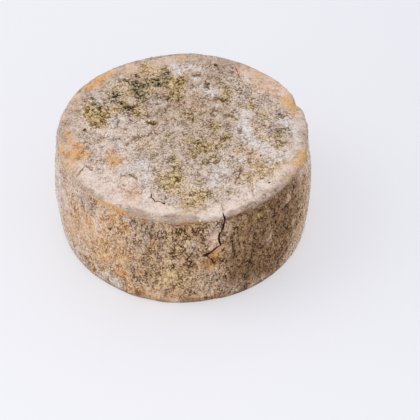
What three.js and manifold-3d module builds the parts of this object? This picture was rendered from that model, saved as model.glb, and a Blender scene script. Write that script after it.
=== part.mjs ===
// A whole wheel of farmhouse cheese with a natural mould rind, as it comes off the ageing shelf.
//
// The curd is pressed in a round hoop, which gives the flat face, the crisp crest round it and the almost upright
// side. Months on a shelf then let it settle: the side bellies out, the foot spreads flat, the plan goes a little
// out of round, and the rind dries into a crust that splits here and there.
//
// Millimetres, +Z up. The origin is the middle of the foot, on the shelf. The long split is on the -Y side.

import * as THREE from "three";
import { mergeVertices } from "three/addons/utils/BufferGeometryUtils.js";
import Module from "manifold-3d";

const wasm = await Module();
wasm.setup();

// ---- Driving dimensions -----------------------------------------------------------------------------

const DIAMETER = 200; // across the belly of the side
const HEIGHT = 88.5; // from the shelf to the face
const BELLY = { crest: 2.2, foot: 3.2 }; // how far the middle of the side stands out past either end
const CREST_ROUND = 4; // the corner between the face and the side
const FOOT_ROUND = 3; // the corner that the weight presses onto the shelf
const SINK = 1.6; // how far the underside hangs below the shelf that cuts it flat
const SHOULDER = { width: 14, fall: 0.3 }; // the smooth band inside the crest
// The cheese-cloth drew a shallow groove under the crest, deepest on the front.
const GROOVE = { below: 7, reach: 3.2, depth: 1.1, at: 272, spread: 62 };

const RADIUS = DIAMETER / 2;
const CREST_RADIUS = RADIUS - BELLY.crest;
const FOOT_RADIUS = RADIUS - BELLY.foot;

// Out of round: how many lobes go round the plan, how far each stands out, and where, in degrees.
const LOBES = [
  { count: 2, out: 0.15, at: 8 },
  { count: 3, out: 0.3, at: 39 },
];
// The crest isn't quite level either: it rises and falls round the wheel.
const WAVES = [
  { count: 4, rise: 0.25, at: 225 },
  { count: 7, rise: 0.3, at: 282 },
  { count: 11, rise: 0.25, at: 268 },
];
// Swellings and hollows that the hoop, the cloth and the turning left. Each is centred at a turn round the wheel,
// a distance from the axis and a height, and pushes the rind outwards and upwards over its reach.
const SWELLINGS = [
  { what: "knock in the crest", turn: 23, from_axis: 98, height: 87, reach: 5, out: -2.4, up: -0.8 },
  { what: "fold across the crest", turn: 210, from_axis: 96, height: 87, reach: 6, out: -1.4, up: -1.4 },
  { what: "press mark beside the fold", turn: 224, from_axis: 90, height: 88, reach: 14, out: 0.4, up: 0.8 },
  { what: "crest worn slanting", turn: 246, from_axis: 98, height: 87, reach: 8, out: -0.9, up: -1.7 },
  { what: "crest worn slanting", turn: 266, from_axis: 98, height: 87, reach: 7, out: -0.7, up: -1.3 },
  { what: "crest worn slanting", turn: 281, from_axis: 98, height: 87, reach: 6, out: -0.6, up: -1.1 },
  { what: "crest worn slanting", turn: 312, from_axis: 98, height: 87, reach: 14, out: -0.8, up: -1.3 },
  { what: "crest standing out", turn: 150, from_axis: 98, height: 86, reach: 15, out: 0.9, up: 0.5 },
  { what: "crest standing out", turn: 88, from_axis: 98, height: 86, reach: 14, out: 0.6, up: 0.8 },
  { what: "side pressed in", turn: 356, from_axis: 98, height: 76, reach: 18, out: -1.6, up: 0 },
  { what: "hollow beside the split", turn: 300, from_axis: 99, height: 56, reach: 24, out: -2.2, up: 0 },
  { what: "lump under the split", turn: 282, from_axis: 99, height: 47, reach: 10, out: 1.5, up: 0 },
  { what: "swelling left of the split", turn: 268, from_axis: 99, height: 30, reach: 20, out: 0.7, up: 0 },
  { what: "swelling on the left", turn: 188, from_axis: 99, height: 42, reach: 22, out: 0.8, up: 0 },
  { what: "slump over the foot", turn: 247, from_axis: 98, height: 4, reach: 9, out: 1.0, up: 0 },
  { what: "slump over the foot", turn: 262, from_axis: 98, height: 4, reach: 12, out: 0.9, up: 0 },
  { what: "foot lifted off the shelf", turn: 283, from_axis: 98, height: 0, reach: 8, out: -0.3, up: 0.4 },
  { what: "slump at the back", turn: 75, from_axis: 99, height: 30, reach: 26, out: 1.0, up: 0 },
  { what: "hollow at the back", turn: 120, from_axis: 99, height: 46, reach: 22, out: -1.6, up: 0 },
  { what: "cloth fold at the back", turn: 148, from_axis: 98, height: 40, reach: 12, out: 1.1, up: 0 },
  { what: "hollow in the face", turn: 60, from_axis: 30, height: 88, reach: 34, out: 0, up: -0.8 },
  { what: "swelling of the face", turn: 230, from_axis: 40, height: 88, reach: 30, out: 0, up: 0.5 },
];

// The crust: lumps of two sizes, calmer on the smooth band round the crest.
const CRUST = { seed: 7, lump: 13, rise: 0.7, pebble: 6.5, grain: 0.75, calm: 0.3 };

// Splits and cracks of the rind. A stop is [turn, along]: a turn round the wheel in degrees, and a distance along
// the rind from the crest, negative on the face. Width and depth are the gap's at its widest.
const SPLITS = [
  {
    what: "long split down the side",
    width: 1.9,
    depth: 9,
    stops: [[290.4, -12], [289.3, -5], [288.7, 1], [289.1, 5], [288.6, 10], [287, 15], [286.3, 19], [287.6, 29]],
  },
  {
    what: "step to the left",
    width: 1.8,
    depth: 7,
    stops: [[287.1, 28.4], [285.3, 30.3], [283.2, 32.2], [281.2, 35], [279.3, 36.6]],
  },
  {
    what: "hair crack below the step",
    width: 0.9,
    depth: 4,
    stops: [[281, 35.3], [282.2, 40], [283.4, 44], [284.3, 48]],
  },
  {
    what: "split in the fold",
    width: 1.6,
    depth: 4,
    stops: [[205.6, -17], [206.6, -14], [208.6, -8], [209.6, -4], [210.8, 1]],
  },
  {
    what: "spur of the fold's split",
    width: 0.8,
    depth: 2.5,
    stops: [[206.9, -15], [208.6, -17], [210.4, -18]],
  },
  {
    what: "bent crack in the face",
    width: 1.4,
    depth: 3,
    stops: [[250.6, -26], [252.2, -22], [253.9, -19.5], [257, -19.4], [260.4, -19.2], [262.6, -17]],
  },
  {
    what: "crack towards the back crest",
    width: 1.2,
    depth: 2.5,
    stops: [[64, -5], [61.6, -10], [57, -15], [54.6, -20]],
  },
  {
    what: "nick near the middle",
    width: 1.6,
    depth: 2.2,
    stops: [[149, -70], [153, -70], [159, -69], [163, -66]],
  },
  {
    what: "nick in the white patch",
    width: 1.2,
    depth: 2,
    stops: [[229.6, -38], [231.4, -36], [234.4, -34.6], [237.6, -35.4]],
  },
];
// Pits where a bubble or a mite opened the crust, placed as the stops are.
const PITS = [
  { turn: 176.5, along: -20.5, across: 3.4, depth: 1.8 },
  { turn: 72.7, along: -12, across: 3.2, depth: 1.6 },
  { turn: 71.6, along: -36, across: 3.0, depth: 1.5 },
  { turn: 321.5, along: -26, across: 2.2, depth: 1.4 },
  { turn: 320, along: -11, across: 2.2, depth: 1.4 },
  { turn: 337.3, along: -32, across: 2.4, depth: 1.3 },
  { turn: 289.2, along: 46, across: 2.6, depth: 1.8 },
  { turn: 262, along: -17.5, across: 2.6, depth: 1.6 },
];

// How finely the rind is faceted: cells across the face and rows down the side, which crowd towards the crest.
const FACE_CELLS = 40;
const SIDE_ROWS = 20;
const CROWDING = { face: 0.85, side: 1.15 };

const UP = new THREE.Vector3(0, 0, 1);
const { clamp, degToRad, euclideanModulo, lerp, smoothstep } = THREE.MathUtils;

// ---- The form ---------------------------------------------------------------------------------------

// Half the section, from the middle of the face over the crest and down the side to under the foot.
function section() {
  const path = new THREE.Path();
  const shoulder = CREST_RADIUS - SHOULDER.width;
  const crest = HEIGHT - SHOULDER.fall;
  path.moveTo(0, HEIGHT);
  path.lineTo(shoulder, HEIGHT);
  path.quadraticCurveTo(shoulder + SHOULDER.width / 2, HEIGHT, CREST_RADIUS - CREST_ROUND, crest);
  path.quadraticCurveTo(CREST_RADIUS, crest - 0.4, CREST_RADIUS, crest - CREST_ROUND);
  path.bezierCurveTo(CREST_RADIUS + 0.9, HEIGHT * 0.8, RADIUS, HEIGHT * 0.66, RADIUS, HEIGHT / 2);
  path.bezierCurveTo(RADIUS, HEIGHT * 0.34, FOOT_RADIUS + 1.5, HEIGHT * 0.2, FOOT_RADIUS, FOOT_ROUND);
  path.quadraticCurveTo(FOOT_RADIUS - 0.5, -SINK, FOOT_RADIUS - FOOT_ROUND - SINK, -SINK);
  path.lineTo(0, -SINK);
  return path;
}

const outline = section();
const outlineLength = outline.getLength();
const crestAlong = CREST_RADIUS - 1; // the run from the middle of the face to the crest, along the outline
const footAlong = outlineLength - (FOOT_RADIUS - FOOT_ROUND - SINK); // and to where the underside begins

// A random value from -1 to 1 for each point of a whole-number lattice.
function latticeValue(i, j, k, seed) {
  let hash = Math.imul(i, 374761393) ^ Math.imul(j, 668265263) ^ Math.imul(k, 2147483647);
  hash = Math.imul(hash ^ (hash >>> 13) ^ Math.imul(seed, 1013904223), 1274126177);
  return ((hash ^ (hash >>> 16)) >>> 0) / 2 ** 31 - 1;
}

// Smooth noise from -1 to 1: the lattice's values, eased from one point to the next.
function noiseAt(point, wavelength, seed) {
  const scaled = point.clone().divideScalar(wavelength);
  const cell = scaled.clone().floor();
  const share = scaled.sub(cell).toArray().map((part) => part * part * (3 - 2 * part));
  let sum = 0;
  for (let corner = 0; corner < 8; corner++) {
    const step = [corner & 1, (corner >> 1) & 1, corner >> 2];
    const weight = share.reduce((product, part, axis) => product * (step[axis] ? part : 1 - part), 1);
    sum += weight * latticeValue(cell.x + step[0], cell.y + step[1], cell.z + step[2], seed);
  }
  return sum;
}

// How much of the crust shows at a distance along the outline: little on the smooth band round the crest.
function crustAt(along) {
  const bandStart = crestAlong - SHOULDER.width;
  const onBand = smoothstep(along, bandStart - 4, bandStart + 5);
  const pastBand = smoothstep(along, crestAlong + 3, crestAlong + 12);
  return lerp(1, CRUST.calm, onBand * (1 - pastBand));
}

// The point of the bare form, without its crust, at a turn in radians and a distance along the outline.
function formAt(turn, along) {
  const flat = outline.getPoint(clamp(along / outlineLength, 0, 1));
  const outwards = flat.x / RADIUS;
  const lift = smoothstep(flat.y, HEIGHT * 0.4, HEIGHT);
  let fromAxis = flat.x;
  let height = flat.y;
  for (const lobe of LOBES) {
    fromAxis += lobe.out * outwards * Math.cos(lobe.count * (turn - degToRad(lobe.at)));
  }
  for (const wave of WAVES) {
    height += wave.rise * outwards ** 2 * lift * Math.cos(wave.count * (turn - degToRad(wave.at)));
  }
  const ahead = euclideanModulo(turn - degToRad(GROOVE.at) + Math.PI, 2 * Math.PI) - Math.PI;
  const nearRound = Math.exp(-((ahead / degToRad(GROOVE.spread)) ** 2));
  const nearHeight = Math.exp(-(((HEIGHT - GROOVE.below - flat.y) / GROOVE.reach) ** 2));
  fromAxis -= GROOVE.depth * nearRound * nearHeight * outwards;

  const away = new THREE.Vector3(Math.cos(turn), Math.sin(turn), 0);
  const point = away.clone().multiplyScalar(fromAxis).setZ(height);
  for (const swelling of SWELLINGS) {
    const at = degToRad(swelling.turn);
    const centre = new THREE.Vector3(Math.cos(at), Math.sin(at), 0).multiplyScalar(swelling.from_axis);
    centre.setZ(swelling.height);
    const share = Math.exp(-centre.distanceToSquared(point) / swelling.reach ** 2);
    point.addScaledVector(away, swelling.out * share).addScaledVector(UP, swelling.up * share);
  }
  return point;
}

// The way out of the form at a place on it, from its neighbours a short step away.
function outwardAt(turn, along) {
  const step = 1.5;
  const turned = step / Math.max(RADIUS / 5, formAt(turn, along).setZ(0).length());
  const round = formAt(turn + turned, along).sub(formAt(turn - turned, along));
  const down = formAt(turn, along + step).sub(formAt(turn, along - step));
  return down.cross(round).normalize();
}

// The rind itself: the form with its crust.
function rindAt(turn, along) {
  const point = formAt(turn, along);
  const lumps = CRUST.rise * noiseAt(point, CRUST.lump, CRUST.seed);
  const pebbles = CRUST.grain * noiseAt(point, CRUST.pebble, CRUST.seed + 1);
  return point.addScaledVector(outwardAt(turn, along), (lumps + pebbles) * crustAt(along));
}

// ---- Solids -----------------------------------------------------------------------------------------

// A closed geometry as a solid, once the vertices that its faces share are one.
function solidOf(geometry) {
  const bare = geometry.clone();
  bare.deleteAttribute("normal");
  bare.deleteAttribute("uv");
  const merged = mergeVertices(bare, 1e-4);
  const vertProperties = merged.attributes.position.array;
  const triVerts = new Uint32Array(merged.index.array);
  return new wasm.Manifold(new wasm.Mesh({ numProp: 3, vertProperties, triVerts }));
}

// A solid's facets as a geometry.
function geometryOf(solid) {
  const { vertProperties, triVerts, numProp, numVert } = solid.getMesh();
  const positions = new Float32Array(numVert * 3);
  for (let i = 0; i < numVert; i++) {
    positions.set(vertProperties.subarray(i * numProp, i * numProp + 3), i * 3);
  }
  const geometry = new THREE.BufferGeometry();
  geometry.setAttribute("position", new THREE.BufferAttribute(positions, 3));
  geometry.setIndex(new THREE.BufferAttribute(triVerts, 1));
  geometry.computeVertexNormals();
  return geometry;
}

// The turn round the axis of a point on a square ring, with the ring's cells spaced evenly.
function turnOnSquare(x, y) {
  const eighth = Math.PI / 4;
  if (x === 0 && y === 0) return 0;
  if (Math.abs(x) >= Math.abs(y)) return (x < 0 ? Math.PI : 0) + eighth * (y / x);
  return (y < 0 ? 1.5 : 0.5) * Math.PI - eighth * (x / y);
}

// Splits each cell along its shorter diagonal, so that no facet over a corner of the box is a sliver.
function splitShort(box) {
  const place = (i) => new THREE.Vector3().fromBufferAttribute(box.attributes.position, i);
  const index = box.index.array;
  for (let i = 0; i < index.length; i += 6) {
    const [a, b, d, , c] = index.slice(i, i + 6); // a box's cell is the facets a b d and b c d
    if (place(a).distanceTo(place(c)) < place(b).distanceTo(place(d))) index.set([a, b, c, a, c, d], i);
  }
}

// The wheel: a box of even cells drawn out round. A square ring of its top becomes a ring of the face, so that the
// cells stay about as large from the middle to the crest.
function wheel() {
  const box = new THREE.BoxGeometry(2, 2, 2, FACE_CELLS, FACE_CELLS, SIDE_ROWS);
  const position = box.attributes.position;
  for (let i = 0; i < position.count; i++) {
    const [x, y, z] = [position.getX(i), position.getY(i), position.getZ(i)];
    const ring = Math.max(Math.abs(x), Math.abs(y));
    const row = (1 - z) / 2;
    let along = crestAlong * ring ** CROWDING.face;
    if (row > 0) along = lerp(crestAlong, footAlong, row ** CROWDING.side);
    if (row === 1) along = lerp(outlineLength, footAlong, ring);
    const point = rindAt(turnOnSquare(x, y), along);
    position.setXYZ(i, point.x, point.y, point.z);
  }
  splitShort(box);
  return solidOf(box);
}

// The shelf under the wheel, which cuts its underside flat.
function shelf() {
  const thickness = 20;
  const slab = new THREE.BoxGeometry(DIAMETER * 1.5, DIAMETER * 1.5, thickness);
  slab.translate(0, 0, -thickness / 2);
  return solidOf(slab);
}

// The gap of one split: a wedge that runs from stop to stop, open at the rind and sharp at its bottom, widest at
// its middle and closing towards both ends.
function gap({ stops, width, depth }) {
  const proud = 2; // how far the wedge stands out of the rind, so that it cuts right through it
  const closing = 0.12; // what is left of the gap's width and depth at its ends
  const steps = (stops.length - 1) * 2;
  const route = new THREE.SplineCurve(stops.map(([turn, along]) => new THREE.Vector2(turn, along)));
  const places = route.getPoints(steps).map(({ x, y }) => ({ turn: degToRad(x), along: crestAlong + y }));
  const centres = places.map(({ turn, along }) => rindAt(turn, along));
  const corners = [];
  places.forEach(({ turn, along }, i) => {
    const out = outwardAt(turn, along);
    const onward = centres[Math.min(i + 1, steps)].clone().sub(centres[Math.max(i - 1, 0)]);
    const across = onward.cross(out).normalize();
    const share = Math.max(closing, Math.sin((Math.PI * (i + 0.35)) / (steps + 0.7)) ** 0.6);
    const half = (width / 2) * share;
    const flare = half * (1 + proud / (depth * share));
    const mouth = centres[i].clone().addScaledVector(out, proud);
    corners.push(mouth.clone().addScaledVector(across, -flare));
    corners.push(mouth.clone().addScaledVector(across, flare));
    corners.push(centres[i].clone().addScaledVector(out, -depth * share));
  });

  const index = [0, 2, 1];
  for (let i = 0; i < steps; i++) {
    for (let side = 0; side < 3; side++) {
      const a = i * 3 + side;
      const b = i * 3 + ((side + 1) % 3);
      index.push(a, b, a + 3, b, b + 3, a + 3);
    }
  }
  const last = steps * 3;
  index.push(last, last + 1, last + 2);
  const wedge = new THREE.BufferGeometry().setFromPoints(corners);
  wedge.setIndex(index);
  return solidOf(wedge);
}

// One pit: the bowl of a flattened ball let into the rind.
function pit({ turn, along, across, depth }) {
  const place = [degToRad(turn), crestAlong + along];
  const ball = new THREE.SphereGeometry(1, 8, 6);
  ball.scale(across / 2, depth, across / 2.6);
  ball.applyQuaternion(new THREE.Quaternion().setFromUnitVectors(new THREE.Vector3(0, 1, 0), outwardAt(...place)));
  ball.translate(...rindAt(...place).toArray());
  return solidOf(ball);
}

// ---- The part ---------------------------------------------------------------------------------------

let cheese = wheel().subtract(shelf());
for (const split of SPLITS) cheese = cheese.subtract(gap(split));
for (const hole of PITS) cheese = cheese.subtract(pit(hole));

const rind = new THREE.MeshStandardMaterial({ name: "rind", color: 0xa8957c, roughness: 0.95, metalness: 0 });
const mesh = new THREE.Mesh(geometryOf(cheese), rind);
mesh.name = "wheel";

// The lobes and swellings leave the wheel a touch to one side, so it is set back over its origin.
mesh.geometry.computeBoundingBox();
const middle = mesh.geometry.boundingBox.getCenter(new THREE.Vector3());
mesh.position.set(-middle.x, -middle.y, 0);

const part = new THREE.Group();
part.add(mesh);

export default part;
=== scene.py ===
"""A whole wheel of farmhouse cheese with a natural mould rind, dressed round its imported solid.

The order is the dairy's own. The curd is pressed in a hoop and settles on the shelf, moulds seed its skin,
the skin dries into a crust round them and splits, and loose crumbs of crust stay on it.

Blender units are metres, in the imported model's frame: the foot is on z = 0, and -Y is the side with the long
split. Sizes of the wheel are written in millimetres, and MM turns them into metres.
"""

import math

import bpy
import numpy as np
from mathutils import Matrix, Vector, noise


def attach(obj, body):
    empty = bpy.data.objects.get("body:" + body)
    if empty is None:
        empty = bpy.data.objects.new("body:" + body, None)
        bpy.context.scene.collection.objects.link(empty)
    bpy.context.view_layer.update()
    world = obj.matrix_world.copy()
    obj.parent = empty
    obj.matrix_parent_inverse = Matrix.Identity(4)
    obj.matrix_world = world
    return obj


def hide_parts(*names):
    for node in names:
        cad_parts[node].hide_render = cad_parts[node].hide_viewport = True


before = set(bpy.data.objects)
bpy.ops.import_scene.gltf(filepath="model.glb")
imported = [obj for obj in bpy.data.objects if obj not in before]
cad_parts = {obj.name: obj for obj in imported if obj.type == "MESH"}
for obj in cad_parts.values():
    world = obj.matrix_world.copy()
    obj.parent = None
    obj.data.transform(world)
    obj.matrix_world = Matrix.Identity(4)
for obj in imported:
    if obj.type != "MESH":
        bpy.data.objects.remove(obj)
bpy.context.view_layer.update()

MM = 0.001

# ---- The table, the light and the camera -------------------------------------------------------------------
# A light table that runs off in every direction, a big soft lamp high on the left and a bright white room.
# The camera looks down on the wheel from a good step away, with a long lens, so that its sides stay upright.


def linear(colour):
    """An sRGB hex colour, such as "#C8B9A6", as the linear RGBA that Blender's sockets take."""
    parts = [int(colour[i : i + 2], 16) / 255 for i in (1, 3, 5)]
    return [p / 12.92 if p <= 0.04045 else ((p + 0.055) / 1.055) ** 2.4 for p in parts] + [1.0]


def add(tree, kind, *values, **settings):
    """Adds a node with its settings. Each value sets or links the next live input; None leaves it alone."""
    node = tree.nodes.new(kind)
    for name, value in settings.items():
        setattr(node, name, value)
    for socket, value in zip([s for s in node.inputs if s.enabled], values):
        if isinstance(value, bpy.types.Node):
            value = next(s for s in value.outputs if s.enabled)
        if isinstance(value, bpy.types.NodeSocket):
            tree.links.new(value, socket)
        elif value is not None:
            socket.default_value = value
    return node


TABLE_ACROSS = 6.0
TABLE_TOP = -0.0002  # a hair under the foot, so that the two never share a plane
GLOW_BACK, GLOW_FRONT = 0.44, 0.49  # how strongly the table glows behind the wheel and before it: painted light, in place of lamps under it
GLOW_FROM, GLOW_TO = 0.15, -0.3  # how far back and how far forward that is
GLOW_LOST = 0.038  # how much less the table glows towards the right: painted shade, away from the big lamp
LOST_FROM, LOST_TO = 0.05, 0.3

to_edge = TABLE_ACROSS / 2
table_corners = [(-to_edge, -to_edge), (to_edge, -to_edge), (to_edge, to_edge), (-to_edge, to_edge)]
table_mesh = bpy.data.meshes.new("table")
table_mesh.from_pydata([(x, y, TABLE_TOP) for x, y in table_corners], [], [(0, 1, 2, 3)])
table = bpy.data.objects.new("table", table_mesh)
bpy.context.scene.collection.objects.link(table)

# White acrylic with a painted glow, as if lamps were under it: even, pale and slightly cool. The glow keeps
# the shadows on it faint.
acrylic = bpy.data.materials.new("lit white acrylic")
acrylic.use_nodes = True
acrylic_tree = acrylic.node_tree
acrylic_shader = acrylic_tree.nodes["Principled BSDF"]
acrylic_shader.inputs["Base Color"].default_value = linear("#B4B5B8")
acrylic_shader.inputs["Roughness"].default_value = 0.6
acrylic_shader.inputs["Specular IOR Level"].default_value = 0.2
acrylic_shader.inputs["Emission Color"].default_value = linear("#FCFAFC")
spot = add(acrylic_tree, "ShaderNodeTexCoord").outputs["Object"]
spot = add(acrylic_tree, "ShaderNodeSeparateXYZ", spot)
glow = add(acrylic_tree, "ShaderNodeMapRange", spot.outputs["Y"], GLOW_FROM, GLOW_TO, GLOW_BACK, GLOW_FRONT)
lost = add(acrylic_tree, "ShaderNodeMapRange", spot.outputs["X"], LOST_FROM, LOST_TO, 0.0, GLOW_LOST)
glow = add(acrylic_tree, "ShaderNodeMath", glow, lost, operation="SUBTRACT")
acrylic_tree.links.new(glow.outputs[0], acrylic_shader.inputs["Emission Strength"])
table.data.materials.append(acrylic)

ROOM_LIGHT = 0.93

room = bpy.data.worlds.new("white room")
room.use_nodes = True
room.node_tree.nodes["Background"].inputs["Color"].default_value = linear("#EEF1FB")
room.node_tree.nodes["Background"].inputs["Strength"].default_value = ROOM_LIGHT
bpy.context.scene.world = room
bpy.context.scene.view_settings.view_transform = "Standard"

SOFTBOX_PLACE = Vector((-1.7, -0.1, 1.9))
SOFTBOX_TARGET = Vector((0, 0, 0.05))
SOFTBOX_ACROSS = 1.8
SOFTBOX_WATTS = 14.0

softbox = bpy.data.lights.new("softbox", "AREA")
softbox.shape = "DISK"
softbox.size = SOFTBOX_ACROSS
softbox.energy = SOFTBOX_WATTS
softbox.color = linear("#FFFAF2")[:3]
softbox_object = bpy.data.objects.new("softbox", softbox)
softbox_object.location = SOFTBOX_PLACE
softbox_object.rotation_euler = (SOFTBOX_TARGET - SOFTBOX_PLACE).to_track_quat("-Z", "Y").to_euler()
bpy.context.scene.collection.objects.link(softbox_object)

CAMERA_PLACE = (0.0211, -1.3214, 1.2865)
CAMERA_DOWN = 44.088  # degrees below level
CAMERA_LENS = 197.8  # millimetres, behind a frame 36 mm wide
CAMERA_FRAME = 36
CAMERA_SEES = 20  # metres

camera = bpy.data.cameras.new("camera")
camera.lens = CAMERA_LENS
camera.sensor_width = CAMERA_FRAME
camera.clip_end = CAMERA_SEES
camera_object = bpy.data.objects.new("camera", camera)
camera_object.location = CAMERA_PLACE
camera_object.rotation_euler = (math.radians(90 - CAMERA_DOWN), 0, 0)
bpy.context.scene.collection.objects.link(camera_object)
bpy.context.scene.camera = camera_object

# ---- The pressed curd --------------------------------------------------------------------------------------
# Curd pressed in a round hoop: a flat face, a crisp crest and an upright side. On the shelf it has settled,
# so the side bellies, the foot is pressed flat, and the cloth and the turning left knocks, folds and
# swellings.

DIAMETER = 200
HEIGHT = 88.5
BELLY_AT_CREST = 2.2  # how far the middle of the side stands out past the crest
BELLY_AT_FOOT = 3.2
CREST_ROUND = 4
FOOT_ROUND = 3
SINK = 1.6  # how far the underside hangs below the shelf that cuts it flat
SHOULDER_WIDTH = 14  # the smooth band inside the crest
SHOULDER_FALL = 0.3
GROOVE = {"below": 7, "reach": 3.2, "depth": 1.1, "at": 272, "spread": 62}  # drawn by the cloth

RADIUS = DIAMETER / 2
CREST_RADIUS = RADIUS - BELLY_AT_CREST
FOOT_RADIUS = RADIUS - BELLY_AT_FOOT
CREST_ALONG = CREST_RADIUS - 1  # the run from the middle of the face to the crest, along the section

LOBES = [(2, 0.15, 8), (3, 0.3, 39)]  # how many round the plan, how far out, and where
WAVES = [(4, 0.25, 225), (7, 0.3, 282), (11, 0.25, 268)]  # the same for the rise and fall of the crest

SWELLINGS = [
    # turn round the wheel in degrees, distance from the axis, height, reach, push outwards, push upwards
    (23, 98, 87, 5, -2.4, -0.8),  # a knock in the crest
    (210, 96, 87, 6, -1.4, -1.4),  # a fold across the crest, and the press mark beside it
    (224, 90, 88, 14, 0.4, 0.8),
    (246, 98, 87, 8, -0.9, -1.7),  # where the crest is worn slanting
    (266, 98, 87, 7, -0.7, -1.3),
    (281, 98, 87, 6, -0.6, -1.1),
    (312, 98, 87, 14, -0.8, -1.3),
    (150, 98, 86, 15, 0.9, 0.5),  # where the crest stands out
    (88, 98, 86, 14, 0.6, 0.8),
    (356, 98, 76, 18, -1.6, 0),
    (300, 99, 56, 24, -2.2, 0),  # the hollow beside the long split, and the lump under its step
    (282, 99, 47, 10, 1.5, 0),
    (268, 99, 30, 20, 0.7, 0),
    (188, 99, 42, 22, 0.8, 0),
    (247, 98, 4, 9, 1.0, 0),  # slumped over the foot, and lifted off the shelf beside it
    (262, 98, 4, 12, 0.9, 0),
    (283, 98, 0, 8, -0.3, 0.4),
    (75, 99, 30, 26, 1.0, 0),  # the back: a slump, a hollow and a fold of the cloth
    (120, 99, 46, 22, -1.6, 0),
    (148, 98, 40, 12, 1.1, 0),
    (60, 30, 88, 34, 0, -0.8),  # the face: a hollow and a swelling
    (230, 40, 88, 30, 0, 0.5),
]

FACE_CELLS = 168  # across the face, and so a quarter as many as there are round the wheel
SIDE_ROWS = 94
FACE_CROWDING = 0.9  # below 1, cells are smaller towards the crest


def section_curve():
    """Half the section: from the middle of the face over the crest, down the side and under the foot.

    Handles stand a third of the way to the next knot, save for the few that round the crest and the foot.
    """
    crest = HEIGHT - SHOULDER_FALL
    shoulder = CREST_RADIUS - SHOULDER_WIDTH
    inner = CREST_RADIUS - CREST_ROUND
    under = FOOT_RADIUS - FOOT_ROUND - SINK
    knots = [
        # handle before, knot, handle after, each as distance from the axis and height
        ((0, HEIGHT), (0, HEIGHT), (shoulder / 3, HEIGHT)),
        ((shoulder * 2 / 3, HEIGHT), (shoulder, HEIGHT), (shoulder + SHOULDER_WIDTH / 3, HEIGHT)),
        ((inner - 2, crest + 0.2), (inner, crest), (inner + CREST_ROUND * 2 / 3, crest - 0.27)),
        (
            (CREST_RADIUS, crest - CREST_ROUND / 2.5),
            (CREST_RADIUS, crest - CREST_ROUND),
            (CREST_RADIUS + 0.9, HEIGHT * 0.8),
        ),
        ((RADIUS, HEIGHT * 0.66), (RADIUS, HEIGHT / 2), (RADIUS, HEIGHT * 0.34)),
        ((FOOT_RADIUS + 1.5, HEIGHT * 0.2), (FOOT_RADIUS, FOOT_ROUND), (FOOT_RADIUS - 0.33, 0)),
        ((under + 2.7, -SINK), (under, -SINK), (under * 2 / 3, -SINK)),
        ((under / 3, -SINK), (0, -SINK), (0, -SINK)),
    ]
    curve = bpy.data.curves.new("section", "CURVE")
    curve.dimensions = "3D"
    curve.resolution_u = 48
    spline = curve.splines.new("BEZIER")
    spline.bezier_points.add(len(knots) - 1)
    for point, (before, knot, after) in zip(spline.bezier_points, knots):
        point.handle_left_type = point.handle_right_type = "FREE"
        point.handle_left = (before[0], 0, before[1])
        point.co = (knot[0], 0, knot[1])
        point.handle_right = (after[0], 0, after[1])
    section = bpy.data.objects.new("section", curve)
    bpy.context.scene.collection.objects.link(section)
    return section, spline.calc_length(resolution=curve.resolution_u)


def sockets(tree, inputs, outputs):
    """Gives a tree its inputs and outputs, each a name with its kind, and returns its input node."""
    for in_out, named_kinds in (("INPUT", inputs), ("OUTPUT", outputs)):
        for label, kind in named_kinds.items():
            tree.interface.new_socket(label, in_out=in_out, socket_type="NodeSocket" + kind)
    return add(tree, "NodeGroupInput")


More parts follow.
